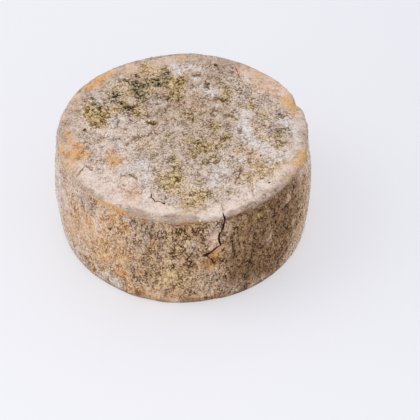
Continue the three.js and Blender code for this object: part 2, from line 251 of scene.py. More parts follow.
def form_group():
    """A group that gives the place, in millimetres, of a turn and a distance along the section."""
    tree = bpy.data.node_groups.new("settled form", "GeometryNodeTree")
    given = sockets(tree, {"Section": "Object", "Turn": "Float", "Along": "Float"}, {"Position": "Vector"})
    turn = given.outputs["Turn"]
    section = add(tree, "GeometryNodeObjectInfo", given.outputs["Section"])
    sample = add(
        tree,
        "GeometryNodeSampleCurve",
        section.outputs["Geometry"],
        None,
        given.outputs["Along"],
        mode="LENGTH",
    )
    flat = add(tree, "ShaderNodeSeparateXYZ", sample.outputs["Position"])
    from_axis, height = flat.outputs["X"], flat.outputs["Z"]
    outwards = add(tree, "ShaderNodeMath", from_axis, RADIUS, operation="DIVIDE")
    lift = add(
        tree, "ShaderNodeMapRange", height, HEIGHT * 0.4, HEIGHT, 0.0, 1.0, interpolation_type="SMOOTHSTEP"
    )

    def ripple(count, size, at, weight):
        """size * weight * cos(count * (turn - at))"""
        phase = add(tree, "ShaderNodeMath", turn, count, -count * math.radians(at), operation="MULTIPLY_ADD")
        wave = add(tree, "ShaderNodeMath", phase, operation="COSINE")
        sized = add(tree, "ShaderNodeMath", wave, size, operation="MULTIPLY")
        return add(tree, "ShaderNodeMath", sized, weight, operation="MULTIPLY")

    for count, out, at in LOBES:
        from_axis = add(tree, "ShaderNodeMath", from_axis, ripple(count, out, at, outwards))
    raised = add(tree, "ShaderNodeMath", outwards, lift, operation="MULTIPLY")
    raised = add(tree, "ShaderNodeMath", raised, outwards, operation="MULTIPLY")
    for count, rise, at in WAVES:
        height = add(tree, "ShaderNodeMath", height, ripple(count, rise, at, raised))

    def bell(distance, reach):
        """exp(-(distance / reach) ** 2)"""
        square = add(tree, "ShaderNodeMath", distance, distance, operation="MULTIPLY")
        share = add(tree, "ShaderNodeMath", square, -1 / reach**2, operation="MULTIPLY")
        return add(tree, "ShaderNodeMath", share, operation="EXPONENT")

    ahead = add(tree, "ShaderNodeMath", turn, math.radians(GROOVE["at"]), operation="SUBTRACT")
    ahead = add(tree, "ShaderNodeMath", ahead, math.pi, -math.pi, operation="WRAP")
    groove_height = HEIGHT - GROOVE["below"]
    under_crest = add(tree, "ShaderNodeMath", flat.outputs["Z"], groove_height, operation="SUBTRACT")
    groove = add(
        tree,
        "ShaderNodeMath",
        bell(ahead, math.radians(GROOVE["spread"])),
        bell(under_crest, GROOVE["reach"]),
        operation="MULTIPLY",
    )
    groove = add(tree, "ShaderNodeMath", groove, -GROOVE["depth"], operation="MULTIPLY")
    groove = add(tree, "ShaderNodeMath", groove, outwards, operation="MULTIPLY")
    from_axis = add(tree, "ShaderNodeMath", from_axis, groove)

    away = add(
        tree,
        "ShaderNodeCombineXYZ",
        add(tree, "ShaderNodeMath", turn, operation="COSINE"),
        add(tree, "ShaderNodeMath", turn, operation="SINE"),
    )
    place = add(tree, "ShaderNodeVectorMath", away, operation="SCALE")
    tree.links.new(from_axis.outputs[0], place.inputs["Scale"])
    place = add(tree, "ShaderNodeVectorMath", place, add(tree, "ShaderNodeCombineXYZ", 0.0, 0.0, height))
    for at, radius, level, reach, out, up in SWELLINGS:
        angle = math.radians(at)
        centre = (radius * math.cos(angle), radius * math.sin(angle), level)
        distance = add(tree, "ShaderNodeVectorMath", place, centre, operation="DISTANCE")
        share = bell(distance.outputs["Value"], reach)
        push = add(tree, "ShaderNodeVectorMath", away, (out, out, out), (0, 0, up), operation="MULTIPLY_ADD")
        place = add(tree, "ShaderNodeVectorMath", push, share, place, operation="MULTIPLY_ADD")
    add(tree, "NodeGroupOutput", place)
    return tree


def bake(host, name):
    """The evaluated object as a plain mesh in the scene, in place of its host."""
    bpy.context.view_layer.update()
    evaluated = host.evaluated_get(bpy.context.evaluated_depsgraph_get())
    mesh = bpy.data.meshes.new_from_object(evaluated)
    mesh.name = name
    bpy.data.objects.remove(host)
    piece = bpy.data.objects.new(name, mesh)
    bpy.context.scene.collection.objects.link(piece)
    return piece


def run_tree(host, tree, **inputs):
    """Puts a tree on an object, with each named input set through its socket's identifier."""
    modifier = host.modifiers.new(tree.name, "NODES")
    modifier.node_group = tree
    identifiers = {s.name: s.identifier for s in tree.interface.items_tree if s.item_type == "SOCKET"}
    for name, value in inputs.items():
        modifier[identifiers[name.replace("_", " ").capitalize()]] = value


section, section_length = section_curve()
foot_along = section_length - (FOOT_RADIUS - FOOT_ROUND - SINK)  # the run along the section to the foot
settled_form = form_group()

hoop = bpy.data.node_groups.new("hoop and shelf", "GeometryNodeTree")
hoop_in = sockets(
    hoop,
    {
        "Section": "Object",
        "Face cells": "Int",
        "Side rows": "Int",
        "Section length": "Float",
        "Crest along": "Float",
        "Foot along": "Float",
    },
    {"Geometry": "Geometry"},
)
face_knots = add(hoop, "ShaderNodeMath", hoop_in.outputs["Face cells"], 1.0)
side_knots = add(hoop, "ShaderNodeMath", hoop_in.outputs["Side rows"], 1.0)
# A box of even cells drawn out round: a square ring of its top becomes a ring of the face.
block = add(hoop, "GeometryNodeMeshCube", (2, 2, 2), face_knots, face_knots, side_knots)
corner = add(hoop, "ShaderNodeSeparateXYZ", add(hoop, "GeometryNodeInputPosition"))
ring = add(
    hoop,
    "ShaderNodeMath",
    add(hoop, "ShaderNodeMath", corner.outputs["X"], operation="ABSOLUTE"),
    add(hoop, "ShaderNodeMath", corner.outputs["Y"], operation="ABSOLUTE"),
    operation="MAXIMUM",
)
spread = []
for axis in ("X", "Y"):
    share = add(hoop, "ShaderNodeMath", corner.outputs[axis], ring, operation="DIVIDE")
    angle = add(hoop, "ShaderNodeMath", share, math.pi / 4, operation="MULTIPLY")
    spread.append(add(hoop, "ShaderNodeMath", angle, operation="TANGENT"))
turn = add(hoop, "ShaderNodeMath", spread[1], spread[0], operation="ARCTAN2")
row = add(hoop, "ShaderNodeMapRange", corner.outputs["Z"], 1.0, -1.0, 0.0, 1.0)
on_face = add(hoop, "ShaderNodeMath", ring, FACE_CROWDING, operation="POWER")
on_face = add(hoop, "ShaderNodeMath", on_face, hoop_in.outputs["Crest along"], operation="MULTIPLY")
on_side = add(
    hoop, "ShaderNodeMapRange", row, 0.0, 1.0, hoop_in.outputs["Crest along"], hoop_in.outputs["Foot along"]
)
under_foot = add(
    hoop,
    "ShaderNodeMapRange",
    ring,
    0.0,
    1.0,
    hoop_in.outputs["Section length"],
    hoop_in.outputs["Foot along"],
)
past_crest = add(hoop, "ShaderNodeMath", row, 0.0001, operation="GREATER_THAN")
past_foot = add(hoop, "ShaderNodeMath", row, 0.9999, operation="GREATER_THAN")
along = add(hoop, "ShaderNodeMix", past_crest, on_face, on_side)
along = add(hoop, "ShaderNodeMix", past_foot, along, under_foot)
form = add(hoop, "GeometryNodeGroup", node_tree=settled_form)
hoop.links.new(hoop_in.outputs["Section"], form.inputs["Section"])
hoop.links.new(turn.outputs[0], form.inputs["Turn"])
hoop.links.new(along.outputs[0], form.inputs["Along"])
stored = add(hoop, "GeometryNodeStoreNamedAttribute", block.outputs["Mesh"], None, "along", along)
stored = add(hoop, "GeometryNodeStoreNamedAttribute", stored, None, "turn", turn)
shaped = add(hoop, "GeometryNodeSetPosition", stored, None, form.outputs["Position"])
kept = add(
    hoop,
    "GeometryNodeStoreNamedAttribute",
    shaped,
    None,
    "rest",
    add(hoop, "GeometryNodeInputPosition"),
    data_type="FLOAT_VECTOR",
)
add(hoop, "NodeGroupOutput", kept)

curd_host = bpy.data.objects.new("curd", bpy.data.meshes.new("curd"))
bpy.context.scene.collection.objects.link(curd_host)
run_tree(
    curd_host,
    hoop,
    section=section,
    face_cells=FACE_CELLS,
    side_rows=SIDE_ROWS,
    section_length=section_length,
    crest_along=float(CREST_ALONG),
    foot_along=foot_along,
)
curd = bake(curd_host, "curd")

# ---- The moulds --------------------------------------------------------------------------------------------
# Moulds and yeasts seed the damp skin and grow in colonies: soot and olive ones in the crevices, straw and
# chalk ones on the crowns, cream, salmon, mauve and orange yeasts on the smooth shoulder, and brown, tan
# and dusky grounds on the side. The dusky ground also carries painted shade: a line under the crest and one
# along the foot, and the right of the side, away from the big lamp. Dun is the bare skin of the face gone
# dull, and bare is where the side's skin lies smooth.

# Each kind's places on the face, as x, y, reach and strength, then on the side, as turn, height and the same.
MOULDS = {
    "soot": (
        [
            (-54, 44, 5, 1), (-53, 39, 4.5, 1), (-57, 47, 3.5, 0.5), (-50, 36, 3, 0.8), (-39, 57, 5, 1),
            (-37, 51, 5, 1), (-33, 45, 5, 1), (-31, 42, 4, 1), (-38, 46, 4, 0.8), (-24, 61, 4.5, 1),
            (-18, 60, 4.5, 1), (-14, 59, 3.5, 0.9), (-20, 65, 4, 0.6), (-14, 70, 4.5, 0.9),
            (-16, 76, 3.5, 0.8), (-11, 74, 3, 0.6), (-37, 68, 3.5, 0.7), (-45, 64, 4.5, 0.8),
            (-32, 63, 4, 0.5), (-28, 56, 4, 0.5), (-72, 41, 4.5, 0.8), (-69, 34, 3.5, 0.8),
            (-66, 29.5, 4, 0.9), (-62, 30, 3, 0.7), (-45, 29.5, 4, 0.9), (-41, 30, 3, 0.8),
            (-65, 12, 4, 0.6), (75, 5, 5, 0.7), (80, 6, 4, 0.8), (72, 1, 4, 0.5), (75, 22, 2.5, 0.6),
            (63.5, -11, 2, 0.6), (54, 50, 5, 0.3), (25.4, 81, 2.5, 0.7), (20, 58, 2.5, 0.6),
            (-23, -25, 4, 0.5), (26.5, -26.5, 3, 0.5), (14, 42, 3, 0.4), (-31, 55, 5, 0.4),
            (-27, 60, 4, 0.6), (-35, 60, 4, 0.4),
        ],
        [
            (262.5, 16.5, 2.5, 0.8), (247, 28, 3, 0.6), (268, 45, 5, 0.4), (236.2, 65, 1.5, 0.8),
            (289.2, 44, 1.8, 1), (312, 85.5, 3.5, 0.7), (318, 85.5, 3.5, 0.8), (323, 85.5, 3, 0.7),
            # The last three places, just above the foot, are painted shadow under it.
            (244.5, 34, 3, 0.5), (251, 75, 2, 0.5), (273, 1, 3, 0.9), (277, 2, 3, 1), (281, 1, 3, 0.8),
        ],
    ),
    "olive": (
        [
            (-4, 63.5, 6, 1), (-7, 50, 4.5, 1), (-9, 44, 4, 0.9), (-4, 41, 4, 1), (-13, 42, 3, 0.6),
            (-2, 57, 6, 0.8), (-12, 64, 5, 0.7), (-48, 36, 3.5, 1), (-44.5, 29, 5, 1), (-50, 31, 4, 0.6),
            (-68, 24, 8, 1), (-62, 22, 6, 0.9), (-74, 30, 5, 0.8), (-76, 38, 4, 0.7), (-65, 12, 5, 1),
            (-72, 18, 5, 0.6), (-35, 22.5, 3.5, 1), (-33, -5, 4, 0.5), (-29, -13, 5, 0.5),
            (-24, 11, 3.5, 0.8), (-12, -5, 5, 0.7), (-70, -10, 3, 0.4), (-23, -25, 4, 0.4),
            (33, 50, 5.5, 0.7), (34, 40, 4, 0.8), (33, 30, 3, 0.5), (53, 33, 4, 1), (46, 36, 4, 0.5),
            (61, 23, 5, 0.5), (18.5, 62, 3, 0.6), (21, 57, 3, 0.6), (25, 80, 3, 0.5), (6, 20, 6, 0.8),
            (2, 26, 5, 0.5), (24, 8, 5, 0.9), (34, -4, 4.5, 0.9), (4, -7, 5, 0.7), (14, -13, 8, 0.7),
            (22, -18, 7, 0.6), (8.5, -24, 4, 1), (28, -12, 6, 0.4), (27, -29, 4, 0.6), (18, -33, 6, 0.4),
            (-5, -38, 4.5, 1), (-4, -44, 4, 0.9), (-5, -52, 6, 0.9), (-8, -30, 5, 0.6),
            (-13, -59, 5, 0.6), (12, -53, 3, 0.7), (12, -65, 4.5, 1), (18, -66, 4, 0.8),
            (13, -73, 5, 0.8), (2, -80, 6, 0.4), (77, 6, 6, 0.7), (75, -12.5, 3.5, 1), (72, -3, 5, 0.7),
            (64, 20, 6, 0.4), (60, -47, 4, 0.5), (42, -56, 3, 0.6), (46, -46, 4, 0.4), (56, 45, 6, 0.3),
        ],
        [
            (297.8, 76.5, 2.5, 0.9), (298.3, 71, 3, 1), (297.6, 49.5, 2.8, 1), (306, 76, 5, 0.7),
            (311, 78, 6, 0.5), (225, 22, 4, 0.5), (238, 14, 5, 0.4), (200, 66, 8, 0.3),
            (284.8, 52.5, 2.5, 0.7), (342, 66, 10, 0.4), (350, 50, 12, 0.3), (275, 17, 3, 0.5),
        ],
    ),
    "straw": (
        [
            (-54, 30, 5, 1), (-56, 25, 5, 0.7), (-68, 22, 12, 0.7), (-40, 33, 8, 0.6), (-30, 57, 9, 0.9),
            (-45, 50, 9, 0.8), (-24, 72, 8, 0.9), (-30, 78, 8, 0.8), (-10, 56, 8, 0.8), (-3, 50, 6, 0.6),
            (-35, 26, 8, 0.8), (-60, 14, 8, 0.6), (-52, 55, 8, 0.5), (60, -40, 10, 1), (70, -36, 8, 0.8),
            (50, -50, 8, 0.6), (52, -26, 8, 0.5), (15, -18, 14, 0.5), (10, -70, 12, 0.6),
            (4, -84, 8, 0.6), (-10, -52, 10, 0.5), (35, 48, 8, 0.5), (-30, -15, 9, 0.4),
            (75, -16, 6, 0.4), (66, -36, 9, 0.6), (-66, 14, 8, 0.8), (-74, 22, 7, 0.5),
            (-4, -60, 10, 0.6), (8, -74, 9, 0.6), (-14, -50, 8, 0.6), (57, 8, 9, 0.5), (62, -6, 8, 0.5),
            (44, -16, 8, 0.4), (84, -30, 7, 0.5), (80, -52, 6, 0.5),
        ],
        [
            (263, 76, 5, 0.6), (268, 30, 12, 0.6), (258, 34, 10, 0.5), (262, 22, 12, 0.6),
            (274, 28, 8, 0.6), (266, 38, 4, 0.8), (268, 62, 6, 0.3), (307, 76, 3, 0.6), (278, 20, 8, 0.4),
            (250, 20, 8, 0.4), (230, 22, 9, 0.5), (347, 74, 12, 0.4), (329, 84, 6, 0.4),
            (268, 70, 12, 0.4), (264, 50, 12, 0.4),
        ],
    ),
    "chalk": (
        [
            (50, 22, 5, 1), (47, 14, 4, 0.9), (46, 6, 5, 1), (50, -1, 5.5, 1), (53, -7, 5, 1),
            (55, -11, 4, 0.8), (62, -15, 5, 0.9), (64, -20, 4, 0.9), (78, 15, 4.5, 1), (81, 10, 3.5, 0.8),
            (39.5, 5, 3, 0.6), (45, 42, 3.5, 0.8), (21, 47, 5, 0.9), (27, 33, 2.5, 0.9), (9, 52, 3, 0.6),
            (16, 56, 4, 0.6), (-4, 74, 6, 0.75), (4, 79, 6, 0.8), (9, 66, 4, 0.6), (-8, 80, 4, 0.7),
            (14, 76, 5, 0.5), (70.5, -30, 4, 0.8), (44, -29, 4, 0.6), (30, -40, 6, 0.6),
            (22, -48, 5, 0.9), (26, -54, 5, 0.8), (20, -60, 4, 0.7), (36, -44, 5, 0.5),
            (-31, -35, 5, 0.9), (-29, -44, 5, 0.8), (-28, -54, 4.5, 0.7), (-66, -16, 4, 0.7),
            (-51, -12, 4, 0.9), (-54, 10, 4, 0.8), (-62, -36, 3.5, 0.8), (-50, 17, 4, 0.6),
            (-66, 38.5, 2.5, 0.7), (-40, -30, 6, 0.4), (-14, 34, 6, 0.4), (-20, 38, 5, 0.4),
            (82, 21, 3, 0.6), (47, 0, 8, 0.7), (-53, 18, 5, 0.35), (85, 4, 6, 0.8), (86, -8, 6, 0.7),
            (80, -26, 7, 0.6), (66, -34, 6, 0.6), (-44, -40, 6, 0.6), (-32, -44, 7, 0.6),
            (-56, 14, 5, 0.4),
        ],
        [
            (229, 72, 2.5, 0.8), (229.3, 62, 2.5, 0.8), (229, 54, 2.5, 0.7), (248.5, 38, 3, 0.6),
            (233, 13, 5, 0.4), (240, 11, 5, 0.5), (244, 12, 3, 0.4), (283.5, 12, 5, 0.25),
            (282, 20, 4, 0.2), (285, 28, 4, 0.2), (216, 34, 4, 0.6), (195, 40, 14, 0.4),
            (200, 14, 10, 0.5), (192, 70, 12, 0.3), (286.9, 60.5, 1.2, 1), (352, 70, 14, 0.4),
            (237.5, 47, 1.5, 0.9), (223, 44, 4, 0.4), (262, 64, 6, 0.3), (283.7, 73, 4, 0.25),
            (236, 9, 5, 0.7), (196, 66, 12, 0.5), (192, 40, 12, 0.5),
        ],
    ),
    "cream": (
        [
            (-72, -46, 8, 1), (-66, -56, 8, 1), (-58, -62, 9, 1), (-50, -58, 9, 0.8), (-70, -38, 5, 0.8),
            (-60, -48, 9, 0.8), (-50, -44, 9, 0.5), (-50, -74, 6, 0.9), (-42, -79, 5, 0.8),
            (-33, -80, 6, 1), (-25, -84, 5, 1), (-27, -72, 7, 0.7), (-17, -86, 6, 1), (-10, -85, 5, 0.9),
            (-3, -88, 5, 1), (6, -89, 5, 1), (14, -90, 5, 1), (22, -89, 6, 1), (28, -85, 6, 1),
            (36, -82, 7, 1), (44, -76, 7, 1), (51, -70, 7, 1), (56, -63, 7, 0.9), (62, -57, 6, 0.6),
            (38, -72, 6, 0.7), (46, -64, 6, 0.6), (-44, -34, 5, 0.5), (-42, -55, 6, 0.6),
            (-22, -62, 6, 0.4), (-18, -78, 5, 0.6), (86, -14, 7, 0.5), (84, 10, 6, 0.5),
            (76, -38, 7, 0.7), (68, -48, 7, 0.7), (62, -30, 9, 0.7), (60, -46, 8, 0.7), (50, -44, 8, 0.7),
            (48, -56, 8, 0.6), (-50, 20, 6, 0.6), (-47, -20, 8, 0.6), (-34, -50, 8, 0.5),
            (-28, -62, 6, 0.5), (74, 50, 8, 0.5), (44, 0, 7, 0.5), (-28, 76, 7, 0.5), (56, 12, 7, 0.5),
            (34, -52, 7, 0.5), (-66, -64, 5, 0.8), (-62, -16, 9, 0.6), (-58, 2, 9, 0.6),
            (-72, 16, 7, 0.4), (70, -32, 10, 0.7), (64, -24, 8, 0.6), (74, -22, 7, 0.4),
            (-26, 38, 7, 0.5), (-48, 52, 6, 0.5), (46, 60, 9, 0.4),
        ],
        [
            (284, 70, 6, 0.45), (282.5, 60, 6, 0.35),
        ],
    ),
    "salmon": (
        [
            (-38, -66, 7, 0.9), (-37, -74, 6, 0.8), (-34, -58, 6, 0.5), (-56, -66, 6, 0.5),
            (-46, -66, 6, 0.5), (3, -70, 5, 0.4), (-6, -64, 5, 0.5), (28, -78, 5, 0.5),
            (-80, -38, 5, 0.8), (-84, -32, 5, 0.5), (84, 12, 5, 0.3), (87, 2, 6, 0.4), (88, -8, 6, 0.4),
            (85, -20, 6, 0.4), (80, -34, 7, 0.6), (72, -48, 6, 0.5), (85, 22, 5, 0.6), (66, 58, 9, 0.9),
            (74, 48, 8, 0.8), (60, 66, 6, 0.6), (56, 74, 8, 0.5), (46, 76, 6, 0.6), (80, 38, 7, 0.5),
            (-42, 76, 7, 0.8), (-36, 70, 6, 0.5), (-50, 70, 5, 0.4), (-84, 44, 6, 0.7), (-88, 30, 6, 0.6),
            (-92, 17, 5, 0.7), (-20, 84, 8, 0.6), (-8, 88, 6, 0.4), (2, 72, 3, 0.9), (9, 77, 4, 0.7),
            (14, 30, 8, 0.4), (4, 34, 7, 0.4), (40, -20, 8, 0.4), (72, 54, 8, 0.6), (62, 62, 7, 0.6),
            (78, 44, 6, 0.5),
        ],
        [
            (232, 76, 3.5, 0.9), (230, 67, 9, 0.7), (208, 74, 8, 0.5), (195, 84, 9, 0.6),
            (324.5, 74, 5, 0.9), (238, 56, 10, 0.3), (258, 9, 6, 0.7), (266, 6, 8, 0.6), (276, 7, 7, 0.5),
            (284, 68, 8, 0.7), (222, 60, 10, 0.3), (210, 44, 12, 0.3), (264, 85, 3, 0.6),
            (270, 86, 3, 0.5),
        ],
    ),
    "mauve": (
        [
            (-91, -6, 4, 0.8), (-91, 12, 4.5, 0.8), (-88.7, -26.4, 2.6, 1), (-88, 26, 7, 0.6),
            (-80, -58, 5, 0.9), (-76, -63, 5, 0.9), (-70, -68, 5, 0.8), (-64, -73, 4, 0.6),
            (-84, -50, 5, 0.6), (-38, -84, 4, 0.9), (-32, -87, 4, 1), (-26, -89, 3.5, 0.9),
            (-8, -92, 3.5, 1), (-4, -92.5, 3.5, 1), (3, -93, 3.5, 1), (9, -93.5, 4, 1), (46, -85, 4, 0.9),
            (54, -79, 5, 1), (62, -72, 5, 1), (70, -65, 6, 0.9), (77, -56, 5, 0.7), (85, -42, 5, 0.4),
            (93, -10, 5, 0.8), (95, -2, 5, 0.6), (30, 74, 8, 0.8), (24, 70, 6, 0.6), (34, 84, 7, 0.7),
            (18, 86, 6, 0.5), (44, 84, 6, 0.5), (-40, 88, 6, 0.8), (-24, 93, 6, 0.6), (-10, 30, 9, 0.5),
            (-20, 20, 8, 0.4), (12, 90, 6, 0.6),
        ],
        [
            (222, 82, 5, 0.8), (225, 77, 4, 0.8), (219.5, 79, 4, 0.6), (215.3, 75.5, 2.6, 1),
            (247, 84, 5, 0.6), (256, 82, 6, 0.5), (260, 72, 7, 0.5), (270, 50, 7, 0.5), (262, 60, 6, 0.7),
            (252, 74, 8, 0.7), (275, 62, 5, 0.5), (284, 32, 5, 0.4), (255, 38, 5, 0.4), (316, 60, 8, 0.2),
            (335, 84, 8, 0.5), (202, 80, 6, 0.5), (290, 12, 8, 0.6), (286, 20, 6, 0.4), (296, 12, 8, 0.5),
            (283.5, 72, 5, 0.3), (308, 86, 5, 0.5),
        ],
    ),
    "orange": (
        [
            (-76, 54, 4.5, 1), (-72, 59, 5, 1), (-66, 65, 5, 1), (-60, 70, 4.5, 1), (-54, 74, 4, 0.9),
            (-64, 56, 4, 0.5), (-87, -7, 3.5, 0.9), (-91, -15, 5, 1), (-88, -20, 5, 1),
            (-82, -14, 5, 0.9), (-79, -20, 6, 1), (-75, -24, 5, 1), (-84, -26, 5, 0.7),
            (-80, -30, 4, 0.5), (-89.5, 7, 2.5, 0.6), (-90, 0, 3, 0.8), (-89, -36, 5, 0.5),
            (-86, -40, 4, 0.5), (-50.5, -33.5, 4, 0.5), (-53, -29, 4, 0.3), (-55, -20, 4, 0.3),
            (-56, -26, 4, 0.3), (79, 40, 4, 0.9), (83, 36, 5, 1), (86, 30, 4.5, 0.9), (87, 23, 4, 0.5),
            (92, -21, 4, 1), (94, -25, 4, 1), (90, -29, 4, 1), (86, -34, 4, 1), (88, -31, 3, 1),
            (84, -46, 3, 0.9), (85, -51, 2.5, 0.9), (60, 71, 7, 0.4), (68, 64, 6, 0.3), (50, 77, 5, 0.3),
            (-2, 90, 6, 0.5), (-56, -80, 3.5, 0.9), (-50, -84, 3.5, 1), (-45, -87, 3, 0.9),
            (-81, -49, 2.2, 1), (-79, -46, 2, 1), (41, 78, 1.6, 0.9), (42, 74, 1.6, 1), (43, 70, 1.6, 1),
            (45, 66, 1.6, 1), (46.3, 62, 1.4, 0.8), (31, -84.5, 1.5, 1), (-12, -82, 1.6, 0.7),
        ],
        [
            (238.5, 86.5, 2.5, 0.9), (241, 86, 3, 1), (244, 85.5, 2.5, 0.8), (234, 87.5, 3, 0.7),
            (230, 88, 3, 0.6), (245, 75, 3, 1), (244, 70, 3.5, 1), (246.5, 71, 2.5, 0.7),
            (230.4, 57, 2, 0.9), (234, 58.5, 3, 0.7), (237, 36, 2.5, 1), (240, 20, 5, 0.6),
            (236, 33, 2.5, 0.8), (232, 28, 3.5, 0.9), (243, 24, 4, 1), (244.5, 17, 3, 0.9),
            (241.5, 21, 3, 0.7), (225, 22, 4, 0.5), (222.5, 5, 4.5, 0.8), (219, 14, 3.5, 0.7),
            (238, 76, 3, 0.4), (331, 88, 2.5, 0.9), (344, 87, 4, 0.8), (348, 85.5, 3.5, 0.8),
            (285.5, 55, 4, 0.7), (282.5, 45, 4, 0.8), (282, 38, 3.5, 0.6), (284.5, 49, 3, 0.6),
            (247, 60, 4, 0.3),
        ],
    ),
    "ochre": (
        [
            (-80, -47, 1.6, 1), (-82.5, -49, 1.6, 1), (-78, -44.5, 1.4, 0.8), (93, -23, 2.5, 0.6),
            (85, -48, 2.5, 0.6),
        ],
        [
            (282.5, 47, 5.5, 0.9), (280, 52, 4, 0.6), (279, 43, 4, 0.25), (329, 87, 3, 0.5),
            (284.5, 52, 4.5, 1), (280.5, 40, 5, 0.3), (219, 14, 4, 0.9), (243, 24, 4, 0.5),
            (242, 84, 3, 0.5), (245, 73, 3.5, 0.7), (236.5, 36, 2.5, 0.8), (233, 28, 3, 0.6),
            (293, 86, 2.5, 0.5), (298, 86, 2.5, 0.5), (222, 5, 4, 0.6), (231, 57, 2, 0.6),
            (262, 3, 6, 0.5), (252, 5, 5, 0.5),
        ],
    ),
    "rust": (
        [],
        [
            (253.6, 86.6, 2.2, 1), (252.2, 86.2, 2, 1), (268.5, 86.6, 2, 1), (270.8, 86.2, 2, 1),
            (273.2, 86.2, 2, 1), (277, 85.4, 1.8, 1), (275, 86, 1.4, 0.7), (292, 85.8, 1.6, 0.3),
            (295, 85.8, 1.8, 0.4), (298, 85.9, 1.8, 0.4), (300.5, 86, 1.8, 0.4), (345, 83.5, 2.5, 0.5),
            (242.5, 86, 1.6, 0.7), (244.5, 73.5, 1.6, 0.7), (236.8, 37, 1.4, 0.8), (233, 28.5, 1.6, 0.6),
            (243.2, 22, 1.8, 0.7), (220, 14, 2, 0.5),
        ],
    ),
    "dun": (
        [
            (-10, 62, 24, 0.8), (12, 28, 26, 0.8), (-18, 28, 22, 0.7), (30, 0, 16, 0.6),
            (-36, 46, 16, 0.6), (16, 72, 20, 0.6), (10, -15, 18, 0.5), (-4, -92, 10, 0.8),
            (8, -95, 8, 0.8), (54, -80, 9, 0.9), (-36, -84, 9, 0.7), (-84, 38, 8, 0.7),
        ],
        [],
    ),
    "tan": (
        [
            (-52, -33, 7, 0.9), (-55, -24, 6, 0.65), (-80, -22, 8, 0.6), (-48, -38, 5, 0.6),
            (70, -42, 6, 0.4), (48, -66, 6, 0.3),
        ],
        [
            (224, 52, 20, 0.65), (279, 42, 6, 0.8), (196, 76, 9, 0.5), (347, 66, 14, 0.6),
            (212, 40, 16, 0.4), (236, 50, 20, 0.8), (228, 28, 16, 0.6), (245, 50, 14, 0.6),
            (270, 25, 14, 0.4), (284.5, 54, 4.5, 0.9), (282.5, 44, 5, 0.9), (262, 20, 16, 0.3),
            (214, 66, 12, 0.4), (200, 62, 8, 0.4), (236, 76, 13, 0.8), (246, 68, 9, 0.6),
            (241, 20, 12, 0.9), (228, 14, 10, 0.3), (206, 28, 16, 0.5), (250, 10, 9, 0.7),
        ],
    ),
    "brown": (
        [],
        [
            (262, 84, 10, 0.7), (275, 84, 10, 0.7), (252, 82, 8, 0.6), (300, 84, 12, 1), (314, 84, 12, 1),
            (328, 84, 8, 0.6), (262, 55, 24, 0.8), (275, 70, 22, 0.8), (268, 30, 24, 0.7),
            (256, 66, 14, 0.6), (252, 28, 12, 0.7), (247, 34, 5, 0.7), (300, 60, 26, 1), (312, 30, 30, 1),
            (295, 30, 20, 0.9), (325, 55, 26, 0.9), (340, 30, 22, 0.6), (288, 15, 12, 0.5),
            (338, 70, 12, 0.5), (262, 7, 12, 0.8), (274, 7, 10, 0.8), (250, 8, 8, 0.6),
            (291, 40, 10, 0.6), (288, 6, 8, 0.8),
        ],
    ),
    "dusk_and_shade": (
        [
            (76, 3, 9, 0.5), (30, 74, 8, 0.3),
        ],
        [
            # On the side the broad dark coat on the right is partly the rind's dark brown and partly painted
            # shade, away from the big lamp; the places at heights 84 and 85 are painted shadow under the
            # crest's lip, and those at heights 2 to 4 painted shadow under the foot.
            (296, 72, 10, 0.4), (300, 60, 12, 0.4), (297, 30, 12, 1), (301, 24, 9, 1), (303, 30, 12, 1),
            (302, 45, 14, 1), (308, 74, 14, 1), (316, 82, 10, 1), (320, 68, 18, 1), (322, 50, 20, 1),
            (330, 76, 10, 0.6), (315, 20, 20, 0.9), (292, 62, 8, 0.4), (292, 45, 8, 0.6),
            (270, 78, 14, 0.25), (314, 78, 8, 0.8), (300, 25, 8, 0.8), (254, 60, 8, 0.3),
            (257, 22, 8, 0.3), (246, 31, 4, 0.8), (334, 60, 12, 0.4), (291, 18, 9, 0.7),
            (300, 80, 6, 0.6), (294, 85, 5, 0.6), (304, 84, 6, 0.8), (312, 84, 6, 0.9), (320, 84, 6, 1),
            (326, 84, 5, 0.7), (262, 2, 4, 0.4), (271, 3, 4, 0.9), (276, 3, 4.5, 1), (281, 3, 4, 0.9),
            (288, 2, 4, 0.6), (298, 4, 6, 0.9),
        ],
    ),
    "bare": (
        [],
        [
            (284, 73, 7, 0.9), (283, 62, 5, 0.7), (282, 47, 5, 0.4), (262, 3, 9, 0.8), (275, 2, 9, 0.8),
            (222, 80, 6, 0.7), (290, 2, 8, 0.6), (292, 60, 8, 0.4), (200, 55, 24, 0.9),
            (212, 30, 16, 0.8), (205, 80, 8, 0.6), (224, 50, 16, 0.6), (190, 30, 20, 0.9),
            (350, 50, 22, 0.4),
        ],
    ),
}
